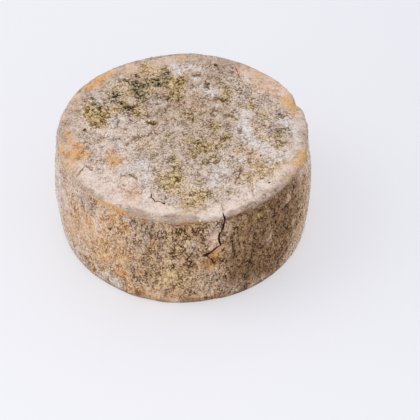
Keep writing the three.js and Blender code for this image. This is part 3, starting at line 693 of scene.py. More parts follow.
# What the back of the side carries: broad grounds, as turn, height, reach and strength, and strays of each
# kind drawn at random between two turns.
BACK_GROUNDS = {
    "brown": [(84, 50, 34, 1), (62, 30, 26, 0.9), (108, 24, 24, 0.8), (40, 60, 20, 0.7), (18, 30, 20, 0.4)],
    "dusk_and_shade": [(72, 30, 18, 0.9), (96, 66, 16, 0.7), (50, 70, 12, 0.6)],
    "tan": [(138, 50, 28, 0.8), (120, 70, 18, 0.6), (158, 25, 20, 0.6), (24, 50, 18, 0.4), (84, 20, 14, 0.6)],
    "salmon": [(128, 84, 12, 0.6), (160, 80, 10, 0.5), (50, 86, 10, 0.5)],
    "mauve": [(100, 84, 12, 0.7), (75, 86, 8, 0.7), (20, 84, 8, 0.5)],
}
UNDERSIDE = {
    # kind: places as x, y, reach and strength
    "brown": [(0, 10, 55, 0.7), (40, -40, 30, 0.5), (-60, -30, 24, 0.4)],
    "tan": [(-40, 40, 40, 0.7), (60, 20, 30, 0.5), (0, -70, 24, 0.6)],
    "mauve": [(20, 60, 22, 0.7), (-30, -10, 18, 0.6), (66, -30, 14, 0.6)],
    "chalk": [
        (-10, 30, 14, 0.8),
        (40, 10, 12, 0.7),
        (-50, -50, 12, 0.7),
        (10, -40, 16, 0.6),
        (-70, 20, 10, 0.7),
    ],
    "dusk_and_shade": [(30, -20, 14, 0.6), (-20, 60, 12, 0.6), (-40, 0, 10, 0.5)],
}
STRAYS = {"olive": 12, "chalk": 14, "orange": 9, "rust": 4, "soot": 6, "mauve": 10, "salmon": 12, "bare": 5}
STRAY_TURNS = (5, 172)
STRAY_HEIGHTS = (4, 84)
STRAY_REACH = (3, 9)
STRAY_STRENGTH = (0.3, 0.85)
SEED = 11

BAND_INNER = 84  # how far from the middle the crust gives way to the smooth shoulder
BAND_WIDER = {"by": 4, "at": 262, "spread": 45}  # towards the front it starts nearer the middle
BAND_WAVERS = [(5, 1.2, 0), (9, 0.8, -40)]  # how many waves its edge has, how far each swings, and where
BAND_FADES = (-4, 3)  # from where to where, past its edge, the shoulder comes in
RINGS = [
    # Colonies that follow the crest and the foot as lines; the two dark lines under the crest on the right and
    # along the foot are painted shadow. Kind, from and to which turn they run, where along the section, how
    # wide and how strong.
    ("tan", 186, 228, CREST_ALONG + 1, 3, 0.35),
    ("tan", 228, 250, CREST_ALONG + 1.5, 4, 0.7),
    ("orange", 232, 246, CREST_ALONG + 1, 1.6, 0.25),
    ("ochre", 262, 280, CREST_ALONG + 2.2, 1.4, 0.3),
    ("mauve", 292, 330, CREST_ALONG - 1.5, 2.8, 0.9),
    # Painted shadow under the crest's lip on the right.
    ("dusk_and_shade", 291, 330, CREST_ALONG + 2.4, 1.8, 0.95),
    ("mauve", 55, 150, CREST_ALONG - 1, 1.8, 0.8),
    ("mauve", 248, 290, CREST_ALONG - 1, 2, 0.5),
    ("tan", 330, 352, CREST_ALONG + 1, 3, 0.7),
    ("tan", 244, 285, foot_along - 9, 6, 0.8),
    # Painted shadow all along the foot, where it meets the shelf.
    ("dusk_and_shade", -4, 356, foot_along - 4.5, 3.5, 0.8),
]
RING_END = 4  # how many degrees a ring takes to fade in
# How far out the skin stands: at each of these heights, so far.
SKIN_STANDS = ([0, 3, 20, 44, 70, 84, 88], [95, 96.8, 99.2, 100, 99.2, 97.8, 95.5])
SIDE_FROM, SIDE_TO = 95.5, 98.5  # the stretch of the section over which the face's crust becomes the side's

# How far each kind roughens and opens the crust.
OPENS_CRUST = {"olive": 1, "soot": 1, "straw": 0.7, "dusk_and_shade": 0.6}
BROWN_OPENS = 0.6
BAND_SMOOTHS, BARE_SMOOTHS, CHALK_SMOOTHS, FOOT_SMOOTHS = 0.6, 0.7, 0.15, 0.75
FACE_ROUGH = 0.5  # how rough the face is where no mould opens it, with the side as 1
BAND_SHEDS, CHALK_HOLDS = 0.8, 0.6  # how much of its loose crumbs the shoulder and chalk lack
FACE_LITTER = 0.3  # how many lie on the face where no mould opens it, with the side as 1


def smooth(low, high, value):
    """0 below the low value and 1 above the high one, with an even bend between."""
    share = np.clip((value - low) / (high - low), 0, 1)
    return share * share * (3 - 2 * share)


def read(mesh, name, field="value"):
    """A named attribute of a mesh's points: a number for each, or a vector."""
    numbers = 3 if field == "vector" else 1
    values = np.empty(len(mesh.vertices) * numbers)
    mesh.attributes[name].data.foreach_get(field, values)
    return values.reshape(-1, 3) if numbers == 3 else values


def paint(mesh, name, values):
    """Keeps a number for each of a mesh's points under a name."""
    kept = mesh.attributes.new(name, "FLOAT", "POINT")
    kept.data.foreach_set("value", np.asarray(values, dtype=np.float32))


place = read(curd.data, "rest", "vector")
turn_of = np.degrees(read(curd.data, "turn"))
along_of = read(curd.data, "along")
from_axis_of = np.hypot(place[:, 0], place[:, 1])

on_the_side = smooth(SIDE_FROM, SIDE_TO, along_of)
rng = np.random.default_rng(SEED)
for kind, (on_face, on_side) in MOULDS.items():
    strays = [
        [rng.uniform(*span) for span in (STRAY_TURNS, STRAY_HEIGHTS, STRAY_REACH, STRAY_STRENGTH)]
        for _ in range(STRAYS.get(kind, 0))
    ]
    centres = [((x, y, HEIGHT), reach, strength, 0) for x, y, reach, strength in on_face]
    centres += [((x, y, 0), reach, strength, 1) for x, y, reach, strength in UNDERSIDE.get(kind, [])]
    for at, level, reach, strength in on_side + BACK_GROUNDS.get(kind, []) + strays:
        angle = math.radians(at)
        out = np.interp(level, *SKIN_STANDS)
        centres.append(((out * math.cos(angle), out * math.sin(angle), level), reach, strength, 1))
    clear = np.ones(len(place))
    for centre, reach, strength, below_crest in centres:
        square = ((place - centre) ** 2).sum(axis=1)
        here = on_the_side if below_crest else 1 - on_the_side
        clear *= 1 - strength * here * np.exp(-square / reach**2)
    for ring_kind, start, end, along, width, strength in RINGS:
        if ring_kind == kind:
            past = (turn_of - start + RING_END) % 360
            ends = end - start + RING_END
            here = smooth(0, RING_END, past) * (1 - smooth(ends, ends + RING_END, past))
            clear *= 1 - strength * here * np.exp(-(((along_of - along) / width) ** 2))
    paint(curd.data, kind, 1 - clear)

ahead = (turn_of - BAND_WIDER["at"] + 180) % 360 - 180
band_from = BAND_INNER - BAND_WIDER["by"] * np.exp(-((ahead / BAND_WIDER["spread"]) ** 2))
for count, swing, at in BAND_WAVERS:
    band_from += swing * np.cos(np.radians(count * turn_of - at))
band = smooth(*BAND_FADES, along_of - band_from) * (1 - smooth(SIDE_FROM, SIDE_TO + 3, along_of))
paint(curd.data, "side", on_the_side)

# How rough the crust is, and how far its crevices stand open.
chalky = read(curd.data, "chalk")
opened = np.max([share * read(curd.data, kind) for kind, share in OPENS_CRUST.items()], axis=0)
smoothed = (1 - BAND_SMOOTHS * band) * (1 - BARE_SMOOTHS * read(curd.data, "bare"))
worked = np.maximum(opened, on_the_side)
rough = smoothed * (1 - CHALK_SMOOTHS * chalky) * (FACE_ROUGH + (1 - FACE_ROUGH) * worked)
rough *= 1 - FOOT_SMOOTHS * smooth(foot_along - 12, foot_along - 4, along_of)
paint(curd.data, "rough", rough)
paint(curd.data, "open", np.maximum(opened, BROWN_OPENS * read(curd.data, "brown")))

# How thickly loose crumbs lie: on the side and among the moulds, hardly on the shoulder, not under the foot.
littered = smoothed * (1 - BAND_SHEDS * band) * (1 - CHALK_HOLDS * chalky)
littered *= FACE_LITTER + (1 - FACE_LITTER) * worked
paint(curd.data, "crumbs", littered * (1 - smooth(foot_along - 14, foot_along - 6, along_of)))

# ---- The splits --------------------------------------------------------------------------------------------
# As the skin dries it shrinks and tears: one long split runs over the crest and down the front, steps aside
# and ends in a hair crack, with smaller splits and pits elsewhere. Each gapes like a wedge, with a low dry
# lip, and the drying face has drawn up into shallow folds, some standing and some drawn in.

LONG_SPLIT = [(289, -3.5), (288.9, 0), (289.3, 3.5), (288.7, 7.5), (288, 11), (286.4, 15.5), (286.1, 19)]
LONG_SPLIT += [(286.4, 23), (286.9, 26), (287.1, 28.6)]
FACE_CRACK = [
    (250.4, -26.5),
    (251.6, -24),
    (251.4, -22),
    (253.8, -20.2),
    (255, -18),
    (257.4, -19.2),
    (260, -17.8),
]
SPLITS = [
    # width, depth, which cut, then turn round the wheel and distance past the crest, point by point
    (1.7, 9, 0, LONG_SPLIT),
    (0.9, 0.8, 1, [(290.2, -12), (289.9, -8), (289.1, -3)]),
    (1.8, 8, 1, [(287, 26), (284.2, 28.4), (281.8, 31.4), (280, 33.6), (278.2, 33)]),
    (1.5, 3.5, 2, [(280.3, 33), (281.5, 35.4), (282.6, 38), (283.2, 41), (283.9, 44)]),
    (1.0, 1.0, 0, [(206.3, -15.4), (207.1, -13.4), (207.8, -10.9)]),
    (1.4, 1.6, 1, [(207.7, -11.4), (208.6, -8.8), (209, -7)]),
    (1.2, 0.8, 2, [(208.9, -7.4), (209.9, -4.5), (210.9, -1.3)]),
    (0.9, 0.8, 2, [(207, -13.6), (208.6, -14.8), (210.5, -15)]),
    (1.3, 2, 0, FACE_CRACK),
    (1.1, 0.8, 0, [(63, -7), (61.5, -10), (58.8, -13.8), (56.1, -17.3), (54.8, -18.5), (52.7, -20.2)]),
    (1.0, 1.0, 0, [(227.6, -34.5), (230, -35), (232.8, -34), (236.6, -33.3)]),
    (1.8, 1.4, 0, [(155, -65.9), (150, -70.7), (159, -71.6)]),
    (0.9, 1.0, 1, [(158.5, -41), (163.4, -41)]),
    (0.9, 1.0, 1, [(164.9, -43), (169.3, -45.4), (172, -46.3)]),
    (0.8, 0.8, 1, [(287.7, -18), (293, -15.3)]),
    (0.8, 0.8, 1, [(310.9, -17.4), (308.3, -11.4)]),
]
FOLDS = [
    # how far it stands up (or, below 0, is drawn in), how wide, then x and y on the face, point by point
    (1.3, 1.5, [(3, 45), (-3, 41), (-9, 36), (-14, 31), (-20, 22), (-23, 14)]),
    (1.2, 1.5, [(-25, 42), (-30, 35), (-33, 27), (-34, 20)]),
    (-1.3, 0.8, [(-52, 22), (-50.5, 15), (-50.5, 8)]),
    (-1.4, 1.1, [(-27, 14), (-24, 10), (-21, 13)]),
    (1.1, 1.6, [(-59, -9), (-66, -18), (-72, -28), (-76, -36)]),
    (-1.2, 0.8, [(-42, -46), (-38, -48.5), (-35, -51)]),
    (-1.1, 0.8, [(-73, -36), (-70, -41)]),
    (-1.2, 0.8, [(46, 9), (43, 1)]),
    (-0.9, 0.7, [(40, -56), (42, -50), (43.5, -40)]),
    (-1.0, 0.8, [(52.5, -62), (53, -68)]),
    (1.1, 1.7, [(30, 62), (22, 66), (12, 66), (4, 72)]),
    (1.2, 1.7, [(46, 44), (36, 38), (28, 34), (20, 24)]),
    (1.1, 1.6, [(-14, -10), (-24, -14), (-34, -24), (-40, -36)]),
    (1.1, 1.6, [(2, -28), (10, -36), (22, -40), (36, -38)]),
    (-1.2, 0.9, [(20, 60), (19, 56), (20, 52)]),
    (-1.2, 0.9, [(8, -10), (15, -12), (18, -18)]),
]
CUTS = 3  # splits that run into each other are cut one after the other
PITS = [
    # turn, distance past the crest, how wide, how deep
    (176.5, -20.5, 3.2, 1.7),
    (72.7, -12, 3.0, 1.4),
    (71.6, -36, 2.4, 1.2),
    (321.5, -26, 1.8, 0.8),
    (320, -11, 1.8, 0.8),
    (337.3, -32, 1.8, 0.8),
    (289.2, 44.5, 2.4, 1.8),
    (292.7, 43.5, 1.6, 1),
    (295, 47.5, 1.6, 1),
    (260, -17.8, 2.4, 1.2),
]
OPEN_AT_TIP = 0.25  # how far a split's ends stand open, for its middle
LIP_REACH = 2.4
LIP_RISE = 0.45
FULL_LIP = 1.8  # the narrowest split with a full lip
FOLD_STRAYS = 1.8  # how far a fold strays from its line, and over what run
FOLD_STRAYS_OVER = 3.5
FAR = 99.0


def guide(name, points, edges, **attributes):
    """A helper mesh of points at (turn, distance along the section), with numbers on each point."""
    mesh = bpy.data.meshes.new(name)
    mesh.from_pydata([(math.radians(at), CREST_ALONG + along, 0) for at, along in points], edges, [])
    for key, values in attributes.items():
        paint(mesh, key, values)
    holder = bpy.data.objects.new(name, mesh)
    bpy.context.scene.collection.objects.link(holder)
    return holder


def over_skin(turned, run):
    """A turn and a run along the section, as two lengths in millimetres at each point of the skin."""
    return np.stack(np.broadcast_arrays(np.radians(turned) * from_axis_of, run), axis=1)


def nearer(nearest, away, step):
    """Each point's nearest distance so far, or its distance from one straight piece if that is less."""
    share = np.clip((away * step).sum(axis=1) / (step * step).sum(axis=1), 0, 1)
    return np.minimum(nearest, np.linalg.norm(away - share[:, None] * step, axis=1))


split_points, split_edges, widths, depths, cuts = [], [], [], [], []
lip = np.zeros(len(place))
for width, depth, cut, points in SPLITS:
    first = len(split_points)
    split_points += points
    split_edges += [(first + i, first + i + 1) for i in range(len(points) - 1)]
    for i in range(len(points)):
        open_share = min(1, OPEN_AT_TIP + 1.3 * math.sin(math.pi * (i + 0.3) / (len(points) - 0.4)))
        widths.append(width * open_share)
        depths.append(depth * open_share)
        cuts.append(cut)
    nearest = FAR
    for (start_turn, start_along), (end_turn, end_along) in zip(points, points[1:]):
        turned = (turn_of - start_turn + 180) % 360 - 180
        away = over_skin(turned, along_of - CREST_ALONG - start_along)
        nearest = nearer(nearest, away, over_skin(end_turn - start_turn, end_along - start_along))
    lip = np.maximum(lip, min(1, width / FULL_LIP) * np.exp(-((nearest / LIP_REACH) ** 2)))
paint(curd.data, "lip", lip)

noise.seed_set(SEED)
stray = np.array([noise.turbulence_vector(Vector(p) / FOLD_STRAYS_OVER, 2, False)[:2] for p in place])
strayed = place[:, :2] + FOLD_STRAYS * stray
on_top = (along_of < CREST_ALONG) & (place[:, 2] > HEIGHT / 2)
fold = np.zeros(len(place))
for stands, width, points in FOLDS:
    nearest = FAR
    for start, end in zip(points, points[1:]):
        nearest = nearer(nearest, strayed - start, np.subtract([end], [start]))
    fold += stands * on_top * np.exp(-((nearest / width) ** 2))
paint(curd.data, "fold", fold)

split_guide = guide("split guide", split_points, split_edges, width=widths, depth=depths, cut=cuts)
pit_places = [p[:2] for p in PITS]
pit_guide = guide("pit guide", pit_places, [], width=[p[2] for p in PITS], depth=[p[3] for p in PITS])

# ---- The dried crust ---------------------------------------------------------------------------------------
# The skin dries into a crust of crumbs a few millimetres wide with crevices between them, wrinkled here and
# there. It is rough on the face, finer and more fibrous on the side, and nearly smooth on the shoulder.

GRANULE = 1.9  # the size of the crust's crumbs
BROAD_GRANULE = 3.4  # and where they are broad
BROAD_PATCH = 14
BROAD_FROM, BROAD_TO = 0.53, 0.59  # of the patches' noise
OPEN_PATCH = 9  # the size of the stretches where the crevices stand open, or are grown over
CREVICE_FROM, CREVICE_TO = 0.44, 0.58  # from a crumb's middle to its crevice, for the crumb's size
FACE_CREVICE, SIDE_CREVICE = 0.85, 0.65  # how deep they cut
FINE_CRUMB = 2.0  # the finer crumbs on the crumbs
OWN_SHARE = 0.6  # how much of a crown's height is its own, and not its fine crumbs'
CROWN = 0.62  # how high a calm crown stands
SWIRL_RUN = 4  # over what run the crust's grain swirls, and how far it is drawn aside
FACE_SWIRL, SIDE_SWIRL = (3.5, 3.5, 3.5), (5.5, 5.5, 5.5)
SIDE_DRAWN = (1.05, 1.05, 0.6)  # the side's grain is drawn out upright
LUMP = 7  # the size of the lumps that the crust is gathered in
WRINKLE = 15  # how far apart the wrinkles are
WRINKLE_WIDE, WRINKLE_DEEP = 0.022, 0.3
GRANULE_RISE = 1.0  # from crevice to crown
CROWN_LEVEL = 0.55  # the height in the crust that keeps to the form underneath
SWELL = 10  # the broad rise and fall under the crust
SWELL_RISE = 1.8


def crust(tree, place, side, open_skin):
    """How high the crust stands at a place, from crevice (0) to crown (1), and each crumb's own hue."""
    # The grain swirls, and on the side it is drawn out upright and swirls more.
    drawn = add(tree, "ShaderNodeMix", side, (1.0, 1.0, 1.0), SIDE_DRAWN, data_type="VECTOR")
    drawn = add(tree, "ShaderNodeVectorMath", place, drawn, operation="MULTIPLY")
    swirl = add(tree, "ShaderNodeTexNoise", drawn, 1 / SWIRL_RUN, 2.0, 0.6)
    swirl = add(tree, "ShaderNodeVectorMath", swirl.outputs["Color"], (0.5, 0.5, 0.5), operation="SUBTRACT")
    swirl_by = add(tree, "ShaderNodeMix", side, FACE_SWIRL, SIDE_SWIRL, data_type="VECTOR")
    bent = add(tree, "ShaderNodeVectorMath", swirl, swirl_by, drawn, operation="MULTIPLY_ADD")

    # Crumbs of two sizes, in patches: broad ones gather where moulds have opened the skin.
    fine = add(tree, "ShaderNodeTexVoronoi", bent, 1 / GRANULE, 0.0, feature="F1")
    broad = add(tree, "ShaderNodeTexVoronoi", bent, 1 / BROAD_GRANULE, 0.0, feature="F1")
    which = add(tree, "ShaderNodeTexNoise", drawn, 1 / BROAD_PATCH, 2.0, 0.5)
    which = add(tree, "ShaderNodeMath", open_skin, 0.2, which, operation="MULTIPLY_ADD")
    which = add(tree, "ShaderNodeMapRange", which, BROAD_FROM, BROAD_TO, 0.0, 1.0)
    distance = add(tree, "ShaderNodeMix", which, fine.outputs["Distance"], broad.outputs["Distance"])
    own = add(tree, "ShaderNodeMix", which, fine.outputs["Color"], broad.outputs["Color"], data_type="VECTOR")
    own = add(tree, "ShaderNodeSeparateXYZ", own)

    # Crevices between the crumbs, deepest where the skin stands open.
    open_here = add(tree, "ShaderNodeTexNoise", drawn, 1 / OPEN_PATCH, 3.0, 0.65)
    open_here = add(tree, "ShaderNodeMapRange", open_here, 0.38, 0.62, 0.1, 1.0)
    open_here = add(tree, "ShaderNodeMath", open_here, open_skin, operation="MAXIMUM")
    crevice = add(tree, "ShaderNodeMapRange", distance, CREVICE_FROM, CREVICE_TO, 0.0, 1.0)
    crevice = add(tree, "ShaderNodeMath", crevice, open_here, operation="MULTIPLY")

    # Each crown has its own height and finer crumbs on it, and is calm where the skin is grown over.
    crumb = add(tree, "ShaderNodeTexNoise", bent, 1 / FINE_CRUMB, 3.0, 0.65)
    crumb = add(tree, "ShaderNodeMapRange", crumb, 0.3, 0.7, 0.0, 1.0)
    crumb = add(tree, "ShaderNodeMix", OWN_SHARE, crumb, own.outputs["X"])
    lively = add(tree, "ShaderNodeMapRange", open_here, 0.0, 1.0, 0.3, 0.8)
    lively = add(tree, "ShaderNodeMath", side, 0.3, lively, operation="MULTIPLY_ADD")
    crumb = add(tree, "ShaderNodeMix", lively, CROWN, crumb)

    # The gaps between lumps, and the wrinkles, cut across them all.
    lump = add(tree, "ShaderNodeTexVoronoi", bent, 1 / LUMP, 0.0, feature="SMOOTH_F1")
    gap = add(tree, "ShaderNodeMapRange", lump.outputs["Distance"], 0.35, 0.75, -0.1, 0.18)
    wrinkle = add(tree, "ShaderNodeTexNoise", drawn, 1 / WRINKLE, 3.0, 0.55)
    wrinkle = add(tree, "ShaderNodeMath", wrinkle, 0.5, operation="SUBTRACT")
    wrinkle = add(tree, "ShaderNodeMath", wrinkle, operation="ABSOLUTE")
    wrinkle = add(tree, "ShaderNodeMapRange", wrinkle, 0.0, WRINKLE_WIDE, WRINKLE_DEEP, 0.0)
    wrinkle.interpolation_type = "SMOOTHSTEP"
    cut_in = add(tree, "ShaderNodeMapRange", side, 0.0, 1.0, FACE_CREVICE, SIDE_CREVICE)
    low = add(tree, "ShaderNodeMath", wrinkle, gap)
    low = add(tree, "ShaderNodeMath", crevice, cut_in, low, operation="MULTIPLY_ADD")
    return add(tree, "ShaderNodeMath", crumb, low, operation="SUBTRACT"), own.outputs["Y"]


VECTOR = "FLOAT_VECTOR"


def named(tree, name, data_type="FLOAT"):
    """What is kept under a name at each point."""
    return add(tree, "GeometryNodeInputNamedAttribute", name, data_type=data_type).outputs["Attribute"]


drying = bpy.data.node_groups.new("dried crust", "GeometryNodeTree")
drying_in = sockets(
    drying,
    {
        "Geometry": "Geometry",
        "Section": "Object",
        "Splits": "Object",
        "Pits": "Object",
        "Granule rise": "Float",
        "Swell rise": "Float",
        "Lip rise": "Float",
        "Rind": "Material",
    },
    {"Geometry": "Geometry"},
)
kept_place = named(drying, "rest", VECTOR)
kept_rough = named(drying, "rough")

crown, _ = crust(drying, kept_place, named(drying, "side"), named(drying, "open"))
risen = add(drying, "ShaderNodeMath", crown, CROWN_LEVEL, operation="SUBTRACT")
risen = add(drying, "ShaderNodeMath", risen, kept_rough, operation="MULTIPLY")
risen = add(drying, "ShaderNodeMath", risen, drying_in.outputs["Granule rise"], operation="MULTIPLY")
swell = add(drying, "ShaderNodeTexNoise", kept_place, 1 / SWELL, 2.5, 0.5)
swell = add(drying, "ShaderNodeMath", swell, 0.5, operation="SUBTRACT")
swell_here = add(drying, "ShaderNodeMath", kept_rough, 0.25)
swell = add(drying, "ShaderNodeMath", swell, swell_here, operation="MULTIPLY")
risen = add(drying, "ShaderNodeMath", swell, drying_in.outputs["Swell rise"], risen, operation="MULTIPLY_ADD")
lip_rise = drying_in.outputs["Lip rise"]
risen = add(drying, "ShaderNodeMath", named(drying, "lip"), lip_rise, risen, operation="MULTIPLY_ADD")
risen = add(drying, "ShaderNodeMath", risen, named(drying, "fold"))
outwards = add(drying, "ShaderNodeVectorMath", add(drying, "GeometryNodeInputNormal"), operation="SCALE")
drying.links.new(risen.outputs[0], outwards.inputs["Scale"])
whole = add(drying, "GeometryNodeSetPosition", drying_in.outputs["Geometry"], None, None, outwards)


def on_the_skin(points):
    """Puts guide points, at (turn, distance along), on the skin."""
    guided = add(drying, "ShaderNodeSeparateXYZ", add(drying, "GeometryNodeInputPosition"))
    form = add(drying, "GeometryNodeGroup", node_tree=settled_form)
    drying.links.new(drying_in.outputs["Section"], form.inputs["Section"])
    drying.links.new(guided.outputs["X"], form.inputs["Turn"])
    drying.links.new(guided.outputs["Y"], form.inputs["Along"])
    return add(drying, "GeometryNodeSetPosition", points, None, form.outputs["Position"])


def skin_normal():
    """Which way the nearest skin faces."""
    normal = add(
        drying,
        "GeometryNodeSampleNearestSurface",
        drying_in.outputs["Geometry"],
        add(drying, "GeometryNodeInputNormal"),
        data_type=VECTOR,
    )
    return normal.outputs["Value"]


def ragged(pieces, far, period):
    """Moves the corners of a cutter about, so that it tears and doesn't slice."""
    shake = add(drying, "ShaderNodeTexNoise", None, 1 / period, 2.0, 0.6)
    drying.links.new(add(drying, "GeometryNodeInputPosition").outputs[0], shake.inputs["Vector"])
    shake = add(drying, "ShaderNodeVectorMath", shake.outputs["Color"], (0.5, 0.5, 0.5), operation="SUBTRACT")
    shake = add(drying, "ShaderNodeVectorMath", shake, (far, far, far), operation="MULTIPLY")
    return add(drying, "GeometryNodeSetPosition", pieces, None, None, shake)


SPLIT_STEP = 1.3  # how long the straight runs of a torn edge are
SPLIT_RAGGED = (1.1, 2.2)  # how far they stray, and over what run
PIT_RAGGED = (1.0, 1.6)
CUTTER_SPREAD = 0.72  # a section's radius for its split's width: about as wide as the split at the skin
PROUD = 2  # how far a cutter stands out of the skin

# A split's cutter: a three-cornered section drawn along the split, wide at the skin and sharp at the bottom.
splits = add(drying, "GeometryNodeObjectInfo", drying_in.outputs["Splits"]).outputs["Geometry"]
three_corners = add(drying, "GeometryNodeCurvePrimitiveCircle", 3, mode="RADIUS")
cutters = []
for cut in range(CUTS):
    chosen = add(drying, "FunctionNodeCompare", named(drying, "cut"), float(cut), operation="EQUAL")
    chosen.inputs["Epsilon"].default_value = 0.1
    lines = add(drying, "GeometryNodeSeparateGeometry", splits, chosen)
    lines = add(drying, "GeometryNodeMeshToCurve", on_the_skin(lines.outputs["Selection"]))
    lines = add(drying, "GeometryNodeResampleCurve", lines, mode="LENGTH")
    lines.inputs["Length"].default_value = SPLIT_STEP
    lines = ragged(lines, *SPLIT_RAGGED)
    here = add(drying, "GeometryNodeInputPosition")
    lines = add(drying, "GeometryNodeStoreNamedAttribute", lines, None, "spine", here, data_type=VECTOR)
    facing = skin_normal()
    lines = add(drying, "GeometryNodeStoreNamedAttribute", lines, None, "up", facing, data_type=VECTOR)
    lines = add(drying, "GeometryNodeSetCurveNormal", lines, None, named(drying, "up", VECTOR), mode="FREE")
    wedge = add(drying, "GeometryNodeCurveToMesh", lines, three_corners, None, True)

    # The section's circle has its corners at height 1 and -1/2: the upper one is turned down to the depth,
    # and the other two stand proud of the skin.
    here = add(drying, "GeometryNodeInputPosition")
    spine = named(drying, "spine", VECTOR)
    away = add(drying, "ShaderNodeVectorMath", here, spine, operation="SUBTRACT")
    up = named(drying, "up", VECTOR)
    level = add(drying, "ShaderNodeVectorMath", away, up, operation="DOT_PRODUCT").outputs["Value"]
    upright = add(drying, "ShaderNodeVectorMath", up, operation="SCALE")
    drying.links.new(level, upright.inputs["Scale"])
    across = add(drying, "ShaderNodeVectorMath", away, upright, operation="SUBTRACT")
    gape = add(drying, "ShaderNodeMath", named(drying, "width"), CUTTER_SPREAD, operation="MULTIPLY")
    across = add(drying, "ShaderNodeVectorMath", across, operation="SCALE")
    drying.links.new(gape.outputs[0], across.inputs["Scale"])
    is_upper = add(drying, "ShaderNodeMath", level, 0.2, operation="GREATER_THAN")
    deep = add(drying, "ShaderNodeMath", named(drying, "depth"), -1.0, operation="MULTIPLY")
    stands = add(drying, "ShaderNodeMix", is_upper, float(PROUD), deep)
    tall = add(drying, "ShaderNodeVectorMath", up, operation="SCALE")
    drying.links.new(stands.outputs[0], tall.inputs["Scale"])
    moved = add(drying, "ShaderNodeVectorMath", spine, across)
    moved = add(drying, "ShaderNodeVectorMath", moved, tall)
    wedge = add(drying, "GeometryNodeSetPosition", wedge, None, moved)
    cutters.append(add(drying, "GeometryNodeFlipFaces", wedge))

# A pit's cutter: a ragged pebble sunk into the skin.
pits = on_the_skin(add(drying, "GeometryNodeObjectInfo", drying_in.outputs["Pits"]).outputs["Geometry"])
pebble = add(drying, "GeometryNodeMeshIcoSphere", 1.0, 3)
half_width = add(drying, "ShaderNodeMath", named(drying, "width"), 0.5, operation="MULTIPLY")
pebble_size = add(drying, "ShaderNodeCombineXYZ", half_width, half_width, named(drying, "depth"))
facing = add(drying, "FunctionNodeAlignRotationToVector", None, None, skin_normal(), axis="Z")
pits = add(drying, "GeometryNodeInstanceOnPoints", pits, None, pebble, None, None, facing, pebble_size)
pits = add(drying, "GeometryNodeRealizeInstances", pits)
cutters.append(ragged(pits, *PIT_RAGGED))

# The shelf: everything below it is pressed flat.
SHELF = (300, 300, 40)
shelf = add(drying, "GeometryNodeMeshCube", SHELF, 50, 50)
shelf = add(drying, "GeometryNodeTransform", shelf)
shelf.inputs["Translation"].default_value = (0, 0, -SHELF[2] / 2)
cutters.append(shelf)

torn = drying.nodes.new("GeometryNodeMeshBoolean")
torn.operation = "DIFFERENCE"
torn.solver = "MANIFOLD"
drying.links.new(whole.outputs[0], torn.inputs["Mesh 1"])
for cutter in cutters:
    drying.links.new(cutter.outputs[0], torn.inputs["Mesh 2"])

# Inside the splits and on the underside, the skin's numbers come from the nearest skin.
result = torn.outputs["Mesh"]
for name in ("rest", "side", "rough", "open", "crumbs", "fold", *MOULDS):
    kind = VECTOR if name == "rest" else "FLOAT"
    near = add(drying, "GeometryNodeSampleNearestSurface", whole, named(drying, name, kind), data_type=kind)
    near = near.outputs["Value"]
    result = add(drying, "GeometryNodeStoreNamedAttribute", result, None, name, near, data_type=kind)

# How deep in a split each point is. The underside is skin too, though the shelf has cut it flat.
OFF_SHELF = 0.05
IN_SPLIT = 0.02
SHARP_BEND = 0.9  # radians
below = add(drying, "GeometryNodeProximity", whole, target_element="FACES")
height = add(drying, "ShaderNodeSeparateXYZ", add(drying, "GeometryNodeInputPosition")).outputs["Z"]
off_shelf = add(drying, "ShaderNodeMath", height, OFF_SHELF, operation="GREATER_THAN")
depth = add(drying, "ShaderNodeMath", below.outputs["Distance"], off_shelf, operation="MULTIPLY")
result = add(drying, "GeometryNodeStoreNamedAttribute", result, None, "depth", depth)
result = add(drying, "GeometryNodeSetShadeSmooth", result)
sharp = add(drying, "ShaderNodeMath", add(drying, "GeometryNodeInputMeshEdgeAngle"), SHARP_BEND)
sharp.operation = "GREATER_THAN"
inside = add(drying, "ShaderNodeMath", named(drying, "depth"), IN_SPLIT, operation="GREATER_THAN")
sharp = add(drying, "ShaderNodeMath", sharp, inside, operation="MULTIPLY")
result = add(drying, "GeometryNodeSetShadeSmooth", result, sharp, False, domain="EDGE")
result = add(drying, "GeometryNodeTransform", result)
result.inputs["Scale"].default_value = (MM, MM, MM)
result = add(drying, "GeometryNodeRealizeInstances", result)
result = add(drying, "GeometryNodeSetMaterial", result, None, drying_in.outputs["Rind"])
add(drying, "NodeGroupOutput", result)

# Natural rind: skin, moulds and yeasts dried on the cheese, brushed and never coated. That leaves it dull,
# with velvety crowns, dark crevices that hold the brush's dust and carry painted shade besides, and colonies
# that break up into each other.
# Each coat has a colour for its crowns and one for its crevices, is broken up at the size of its patches,
# and keeps to the crevices (below 0) or to the crowns (above 0).
rind = bpy.data.materials.new("natural rind")
rind.use_nodes = True
rind_tree = rind.node_tree
rind_shader = rind_tree.nodes["Principled BSDF"]
RIND_ROUGHNESS = 0.9
RIND_SHEEN = 0.25
GRIT = 1.2  # the finest grain of the crust, drawn a little coarser than it is so that it shows
PORES = (0.28, 0.5, -1.2, 0.18)  # on the face the grit is pits: where in its noise, and how dark and pale
GRAINS = (0.3, 0.7, -0.5, 0.5)  # and on the side it is grains, dark and pale alike
GRIT_SHOWS = (0.3, 1.05)  # on smooth skin and on rough
FOLD_SHADE_DARKENS = 0.7  # painted shade in a drawn-in fold, for each millimetre
CREVICE_TONE, CROWN_TONE = -0.08, 0.8
GROUND = [("#F3E4D4", "#A07A54"), ("#E8DACE", "#8E7056")]  # warm and grey skin, crown and crevice of each
GROUND_PATCH = 9
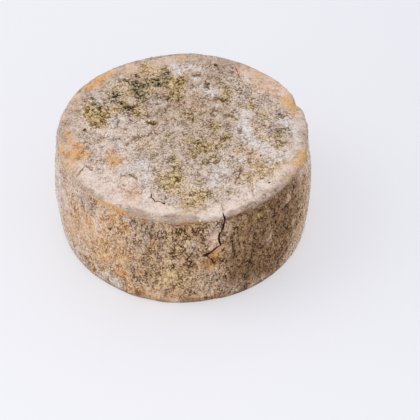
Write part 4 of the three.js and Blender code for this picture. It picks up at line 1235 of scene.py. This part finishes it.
COATS = {
    # Kind: crown, crevice, size of its patches, how ragged they are, where they keep, how far they cover.
    "dun": ("#DFC7AC", "#785A38", 8, 1.0, 0.0, 0.9),
    "tan": ("#F4D0A4", "#AC7844", 12, 0.9, 0.0, 0.88),
    "brown": ("#E0B888", "#503218", 8, 0.8, 0.0, 0.9),
    # A dark ground, which also paints shade where its places and rings put it: under the crest, along the foot
    # and on the right of the side.
    "dusk_and_shade": ("#A07C58", "#381E0D", 8, 0.5, 0.0, 0.9),
    "salmon": ("#FCE0C6", "#CE9E7C", 8, 1.0, 0.0, 0.82),
    "cream": ("#FFF4EA", "#DCBEA6", 8, 0.8, 0.1, 0.92),
    "mauve": ("#D2BAA8", "#7C604E", 6, 0.9, 0.0, 0.9),
    "orange": ("#F7CA90", "#BC7C3C", 5, 1.1, 0.0, 0.88),
    "ochre": ("#C4945A", "#7A4E1E", 4, 0.8, 0.0, 0.92),
    "straw": ("#F6DCB0", "#947240", 6, 1.0, 0.2, 0.85),
    "olive": ("#E4C888", "#684F10", 4, 1.2, -0.3, 0.92),
    "soot": ("#C0AA7E", "#26281C", 4, 1.0, -0.3, 0.95),
    "chalk": ("#FAF7F4", "#BEB0A2", 5, 1.2, 0.3, 0.9),
    "rust": ("#DC8C40", "#96561F", 3, 0.5, 0.0, 0.95),
}
COAT_FROM, COAT_TO = 0.08, 0.95  # how thickly a coat has to grow to show, and to cover
OWN_CAST = ("#FFF4E4", "#F2F1F3")  # each crumb is a little warmer or cooler than the next
OWN_CAST_SHOWS = 0.7
# How far the painted shade darkens the crust's crevices.
RECESS_SHADE = 0.7
# A split's wall: ochre paste at the lip, then painted shade growing darker with depth.
SPLIT_WALL_AND_SHADE = [(0.0, "#9A6230"), (0.08, "#7A4A28"), (0.2, "#5A3222"), (0.4, "#40211A"), (1.0, "#301914")]
SPLIT_SHADE_DEEP = 5  # the depth, in millimetres, at which the painted shade in a split is darkest
WALL_FROM, WALL_TO = 0.05, 0.35  # the depths over which skin gives way to wall
DUST = 0.9  # the finest relief, on the grit
DUST_SHOWS = 0.8
RELIEF_STRENGTH = 0.6
RELIEF_DEEP = 0.35


def value_of(name):
    """A number of the skin's, as the material reads it."""
    return add(rind_tree, "ShaderNodeAttribute", attribute_name=name).outputs["Fac"]


def mixed(share, low, high):
    """A colour between two, each of them a hex value or a node."""
    low, high = [linear(c) if isinstance(c, str) else c for c in (low, high)]
    return add(rind_tree, "ShaderNodeMix", share, low, high, data_type="RGBA")


# How light each spot is in its own colour: the crust's height, with grit and pores, and painted shade in
# drawn-in folds.
skin_place = add(rind_tree, "ShaderNodeAttribute", attribute_name="rest").outputs["Vector"]
crown, own_hue = crust(rind_tree, skin_place, value_of("side"), value_of("open"))
softened = add(rind_tree, "ShaderNodeMapRange", value_of("rough"), 0.0, 1.0, 0.3, 1.0)
softened = add(rind_tree, "ShaderNodeMix", softened, CROWN_LEVEL, crown)
grit = add(rind_tree, "ShaderNodeTexNoise", skin_place, 1 / GRIT, 2.0, 0.7)
pores = add(rind_tree, "ShaderNodeMapRange", grit, *PORES)
grains = add(rind_tree, "ShaderNodeMapRange", grit, *GRAINS)
grit = add(rind_tree, "ShaderNodeMix", value_of("side"), pores, grains)
grit_shows = add(rind_tree, "ShaderNodeMapRange", value_of("rough"), 0.2, 0.8, *GRIT_SHOWS)
grainy = add(rind_tree, "ShaderNodeMath", grit, grit_shows, softened, operation="MULTIPLY_ADD")
# Painted shade: drawn-in folds are darkened as if in shadow.
drawn_in_shade = add(rind_tree, "ShaderNodeMath", value_of("fold"), 0.0, operation="MINIMUM")
grainy = add(rind_tree, "ShaderNodeMath", drawn_in_shade, FOLD_SHADE_DARKENS, grainy, operation="MULTIPLY_ADD")
grainy = add(rind_tree, "ShaderNodeMix", value_of("loose"), grainy, value_of("tone"))
light = add(rind_tree, "ShaderNodeMapRange", grainy, CREVICE_TONE, CROWN_TONE, 0.0, 1.0)

# The ground, and the coats over it.
tint = add(rind_tree, "ShaderNodeTexNoise", skin_place, 1 / GROUND_PATCH, 4.0, 0.65)
tint = add(rind_tree, "ShaderNodeMapRange", tint, 0.38, 0.62, 0.0, 1.0)
tint = add(rind_tree, "ShaderNodeMix", 0.3, tint, own_hue)
warm, grey = [mixed(light, crevice_colour, crown_colour) for crown_colour, crevice_colour in GROUND]
colour = mixed(tint, warm, grey)
for index, (kind, (crown_colour, crevice_colour, patch, ragged_by, keeps, most)) in enumerate(COATS.items()):
    broken = add(
        rind_tree,
        "ShaderNodeTexNoise",
        skin_place,
        float(index),
        1 / patch,
        5.0,
        0.7,
        noise_dimensions="4D",
    )
    broken = add(rind_tree, "ShaderNodeMapRange", broken, 0.3, 0.7, 1 - ragged_by, 1 + ragged_by)
    keep = add(rind_tree, "ShaderNodeMath", light, 0.5, operation="SUBTRACT")
    keep = add(rind_tree, "ShaderNodeMath", keep, keeps, broken, operation="MULTIPLY_ADD")
    grown = add(rind_tree, "ShaderNodeMath", value_of(kind), keep, operation="MULTIPLY")
    cover = add(rind_tree, "ShaderNodeMapRange", grown, COAT_FROM, COAT_TO, 0.0, most)
    cover.interpolation_type = "SMOOTHSTEP"
    colour = mixed(cover, colour, mixed(light, crevice_colour, crown_colour))
own_cast = mixed(own_hue, *OWN_CAST)
colour = add(
    rind_tree,
    "ShaderNodeMix",
    OWN_CAST_SHOWS,
    colour,
    own_cast,
    data_type="RGBA",
    blend_type="MULTIPLY",
)
# Painted shade: the colour is darkened where the crust is lowest, in its crevices.
recess_shade = add(rind_tree, "ShaderNodeMapRange", grainy, -0.4, 0.1, RECESS_SHADE, 1.0)
colour = add(rind_tree, "ShaderNodeMix", 1.0, colour, recess_shade, data_type="RGBA", blend_type="MULTIPLY")

# The walls of the splits: dry ochre paste at the lip, and painted shade that darkens them with depth, darkest
# at the bottom.
wall_and_shade = add(rind_tree, "ShaderNodeMapRange", value_of("depth"), 0.0, SPLIT_SHADE_DEEP, 0.0, 1.0)
wall_and_shade = add(rind_tree, "ShaderNodeValToRGB", wall_and_shade)
stops = wall_and_shade.color_ramp.elements
stops.remove(stops[1])
stops[0].position = SPLIT_WALL_AND_SHADE[0][0]
stops[0].color = linear(SPLIT_WALL_AND_SHADE[0][1])
for at, wall_colour in SPLIT_WALL_AND_SHADE[1:]:
    stops.new(at).color = linear(wall_colour)
in_split = add(rind_tree, "ShaderNodeMapRange", value_of("depth"), WALL_FROM, WALL_TO, 0.0, 1.0)
colour = mixed(in_split, colour, wall_and_shade.outputs["Color"])
rind_tree.links.new(next(s for s in colour.outputs if s.enabled), rind_shader.inputs["Base Color"])
rind_shader.inputs["Roughness"].default_value = RIND_ROUGHNESS
rind_shader.inputs["Specular IOR Level"].default_value = RIND_SHEEN

# The relief that is too fine for the mesh.
dust = add(rind_tree, "ShaderNodeTexNoise", skin_place, 1 / DUST, 2.0, 0.6)
relief = add(rind_tree, "ShaderNodeMath", dust, DUST_SHOWS, grainy, operation="MULTIPLY_ADD")
bump = add(rind_tree, "ShaderNodeBump")
bump.inputs["Strength"].default_value = RELIEF_STRENGTH
bump.inputs["Distance"].default_value = RELIEF_DEEP * MM
rind_tree.links.new(relief.outputs[0], bump.inputs["Height"])
rind_tree.links.new(bump.outputs[0], rind_shader.inputs["Normal"])

run_tree(
    curd,
    drying,
    section=section,
    splits=split_guide,
    pits=pit_guide,
    granule_rise=float(GRANULE_RISE),
    swell_rise=float(SWELL_RISE),
    lip_rise=float(LIP_RISE),
    rind=rind,
)
wheel = bake(curd, "wheel_rind")
for helper in (section, split_guide, pit_guide):
    bpy.data.objects.remove(helper)

# The wheel stands in the middle of its own box, as the solid does.
low, high = [np.array(c) for c in (wheel.bound_box[0], wheel.bound_box[6])]
middle = (low + high) / 2
wheel.data.transform(Matrix.Translation((-middle[0], -middle[1], -low[2])))

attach(wheel, "root")
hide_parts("wheel")

# ---- The loose crumbs --------------------------------------------------------------------------------------
# Dry flakes of rind, a millimetre or two across, that the brush has lifted and left sitting on the crust.
# They are the same skin as the crust under them, but stand in the light, so each shows its own pale tone.

CRUMBS_APART = 2.2
CRUMBS_MOST = 0.8  # to a square millimetre, before those too close to another are left out
CRUMB_SIZE = (0.55, 1.4)  # from the middle of a flake to its edge
CRUMB_NARROW = (0.5, 1.0)  # a flake's width for its length
CRUMB_THICK = 0.45  # and its thickness
CRUMB_TILT = 0.6
CRUMB_TONE = (0.35, 1.1)
CRUMB_RAGGED = 1.2  # how far its corners stray
CRUMB_SIDES = 5

scatter = bpy.data.node_groups.new("loose crumbs", "GeometryNodeTree")
scatter_in = sockets(
    scatter,
    {
        "Geometry": "Geometry",
        "Apart": "Float",
        "Most": "Float",
        "Smallest": "Float",
        "Largest": "Float",
        "Thickness": "Float",
        "Tilt": "Float",
        "Darkest": "Float",
        "Palest": "Float",
        "Seed": "Int",
        "Rind": "Material",
    },
    {"Geometry": "Geometry"},
)
seed = scatter_in.outputs["Seed"]
on_skin = add(scatter, "ShaderNodeMath", named(scatter, "depth"), IN_SPLIT, operation="LESS_THAN")
dots = scatter.nodes.new("GeometryNodeDistributePointsOnFaces")
dots.distribute_method = "POISSON"
scatter.links.new(scatter_in.outputs["Geometry"], dots.inputs["Mesh"])
scatter.links.new(on_skin.outputs[0], dots.inputs["Selection"])
scatter.links.new(scatter_in.outputs["Apart"], dots.inputs["Distance Min"])
scatter.links.new(scatter_in.outputs["Most"], dots.inputs["Density Max"])
scatter.links.new(named(scatter, "crumbs"), dots.inputs["Density Factor"])
scatter.links.new(seed, dots.inputs["Seed"])


def drawn_at_random(low, high, salt):
    """A number drawn for each crumb, between two numbers or sockets."""
    node = scatter.nodes.new("FunctionNodeRandomValue")
    node.data_type = "FLOAT"
    for socket, value in zip([s for s in node.inputs if s.enabled], (low, high)):
        if isinstance(value, bpy.types.NodeSocket):
            scatter.links.new(value, socket)
        else:
            socket.default_value = value
    salted = add(scatter, "ShaderNodeMath", seed, float(salt))
    scatter.links.new(salted.outputs[0], node.inputs["Seed"])
    return next(s for s in node.outputs if s.enabled)


flake = add(scatter, "GeometryNodeMeshUVSphere", CRUMB_SIDES, 2, 1.0)
long = drawn_at_random(scatter_in.outputs["Smallest"], scatter_in.outputs["Largest"], 1)
narrow = add(scatter, "ShaderNodeMath", long, drawn_at_random(*CRUMB_NARROW, 2), operation="MULTIPLY")
thick = add(scatter, "ShaderNodeMath", long, scatter_in.outputs["Thickness"], operation="MULTIPLY")
flake_size = add(scatter, "ShaderNodeCombineXYZ", long, narrow, thick)
laid = add(
    scatter,
    "GeometryNodeInstanceOnPoints",
    dots.outputs["Points"],
    None,
    flake.outputs["Mesh"],
    None,
    None,
    dots.outputs["Rotation"],
    flake_size,
)
lean = drawn_at_random(-1.0, 1.0, 3)
lean = add(scatter, "ShaderNodeMath", scatter_in.outputs["Tilt"], lean, operation="MULTIPLY")
turned = add(scatter, "ShaderNodeCombineXYZ", lean, 0.0, drawn_at_random(-math.pi, math.pi, 4))
turned = add(scatter, "FunctionNodeEulerToRotation", turned)
laid = add(scatter, "GeometryNodeRotateInstances", laid, None, turned)
tone = drawn_at_random(scatter_in.outputs["Darkest"], scatter_in.outputs["Palest"], 5)
laid = add(scatter, "GeometryNodeStoreNamedAttribute", laid, None, "tone", tone, domain="INSTANCE")
laid = add(scatter, "GeometryNodeStoreNamedAttribute", laid, None, "loose", 1.0, domain="INSTANCE")
laid = add(scatter, "GeometryNodeRealizeInstances", laid)
shake = add(scatter, "ShaderNodeTexNoise", add(scatter, "GeometryNodeInputPosition"), 1 / MM, 0.0)
shake = add(scatter, "ShaderNodeVectorMath", shake.outputs["Color"], (0.5, 0.5, 0.5), operation="SUBTRACT")
shake = add(scatter, "ShaderNodeVectorMath", shake, (CRUMB_RAGGED * MM,) * 3, operation="MULTIPLY")
laid = add(scatter, "GeometryNodeSetPosition", laid, None, None, shake)
laid = add(scatter, "GeometryNodeSetShadeSmooth", laid, None, False)
laid = add(scatter, "GeometryNodeSetMaterial", laid, None, scatter_in.outputs["Rind"])
add(scatter, "NodeGroupOutput", laid)

crumb_host = bpy.data.objects.new("crumbs", wheel.data.copy())
bpy.context.scene.collection.objects.link(crumb_host)
run_tree(
    crumb_host,
    scatter,
    apart=CRUMBS_APART * MM,
    most=CRUMBS_MOST / MM**2,
    smallest=CRUMB_SIZE[0] * MM,
    largest=CRUMB_SIZE[1] * MM,
    thickness=CRUMB_THICK,
    tilt=CRUMB_TILT,
    darkest=CRUMB_TONE[0],
    palest=CRUMB_TONE[1],
    seed=SEED,
    rind=rind,
)
loose_crumbs = bake(crumb_host, "loose_crumbs")
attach(loose_crumbs, "root")
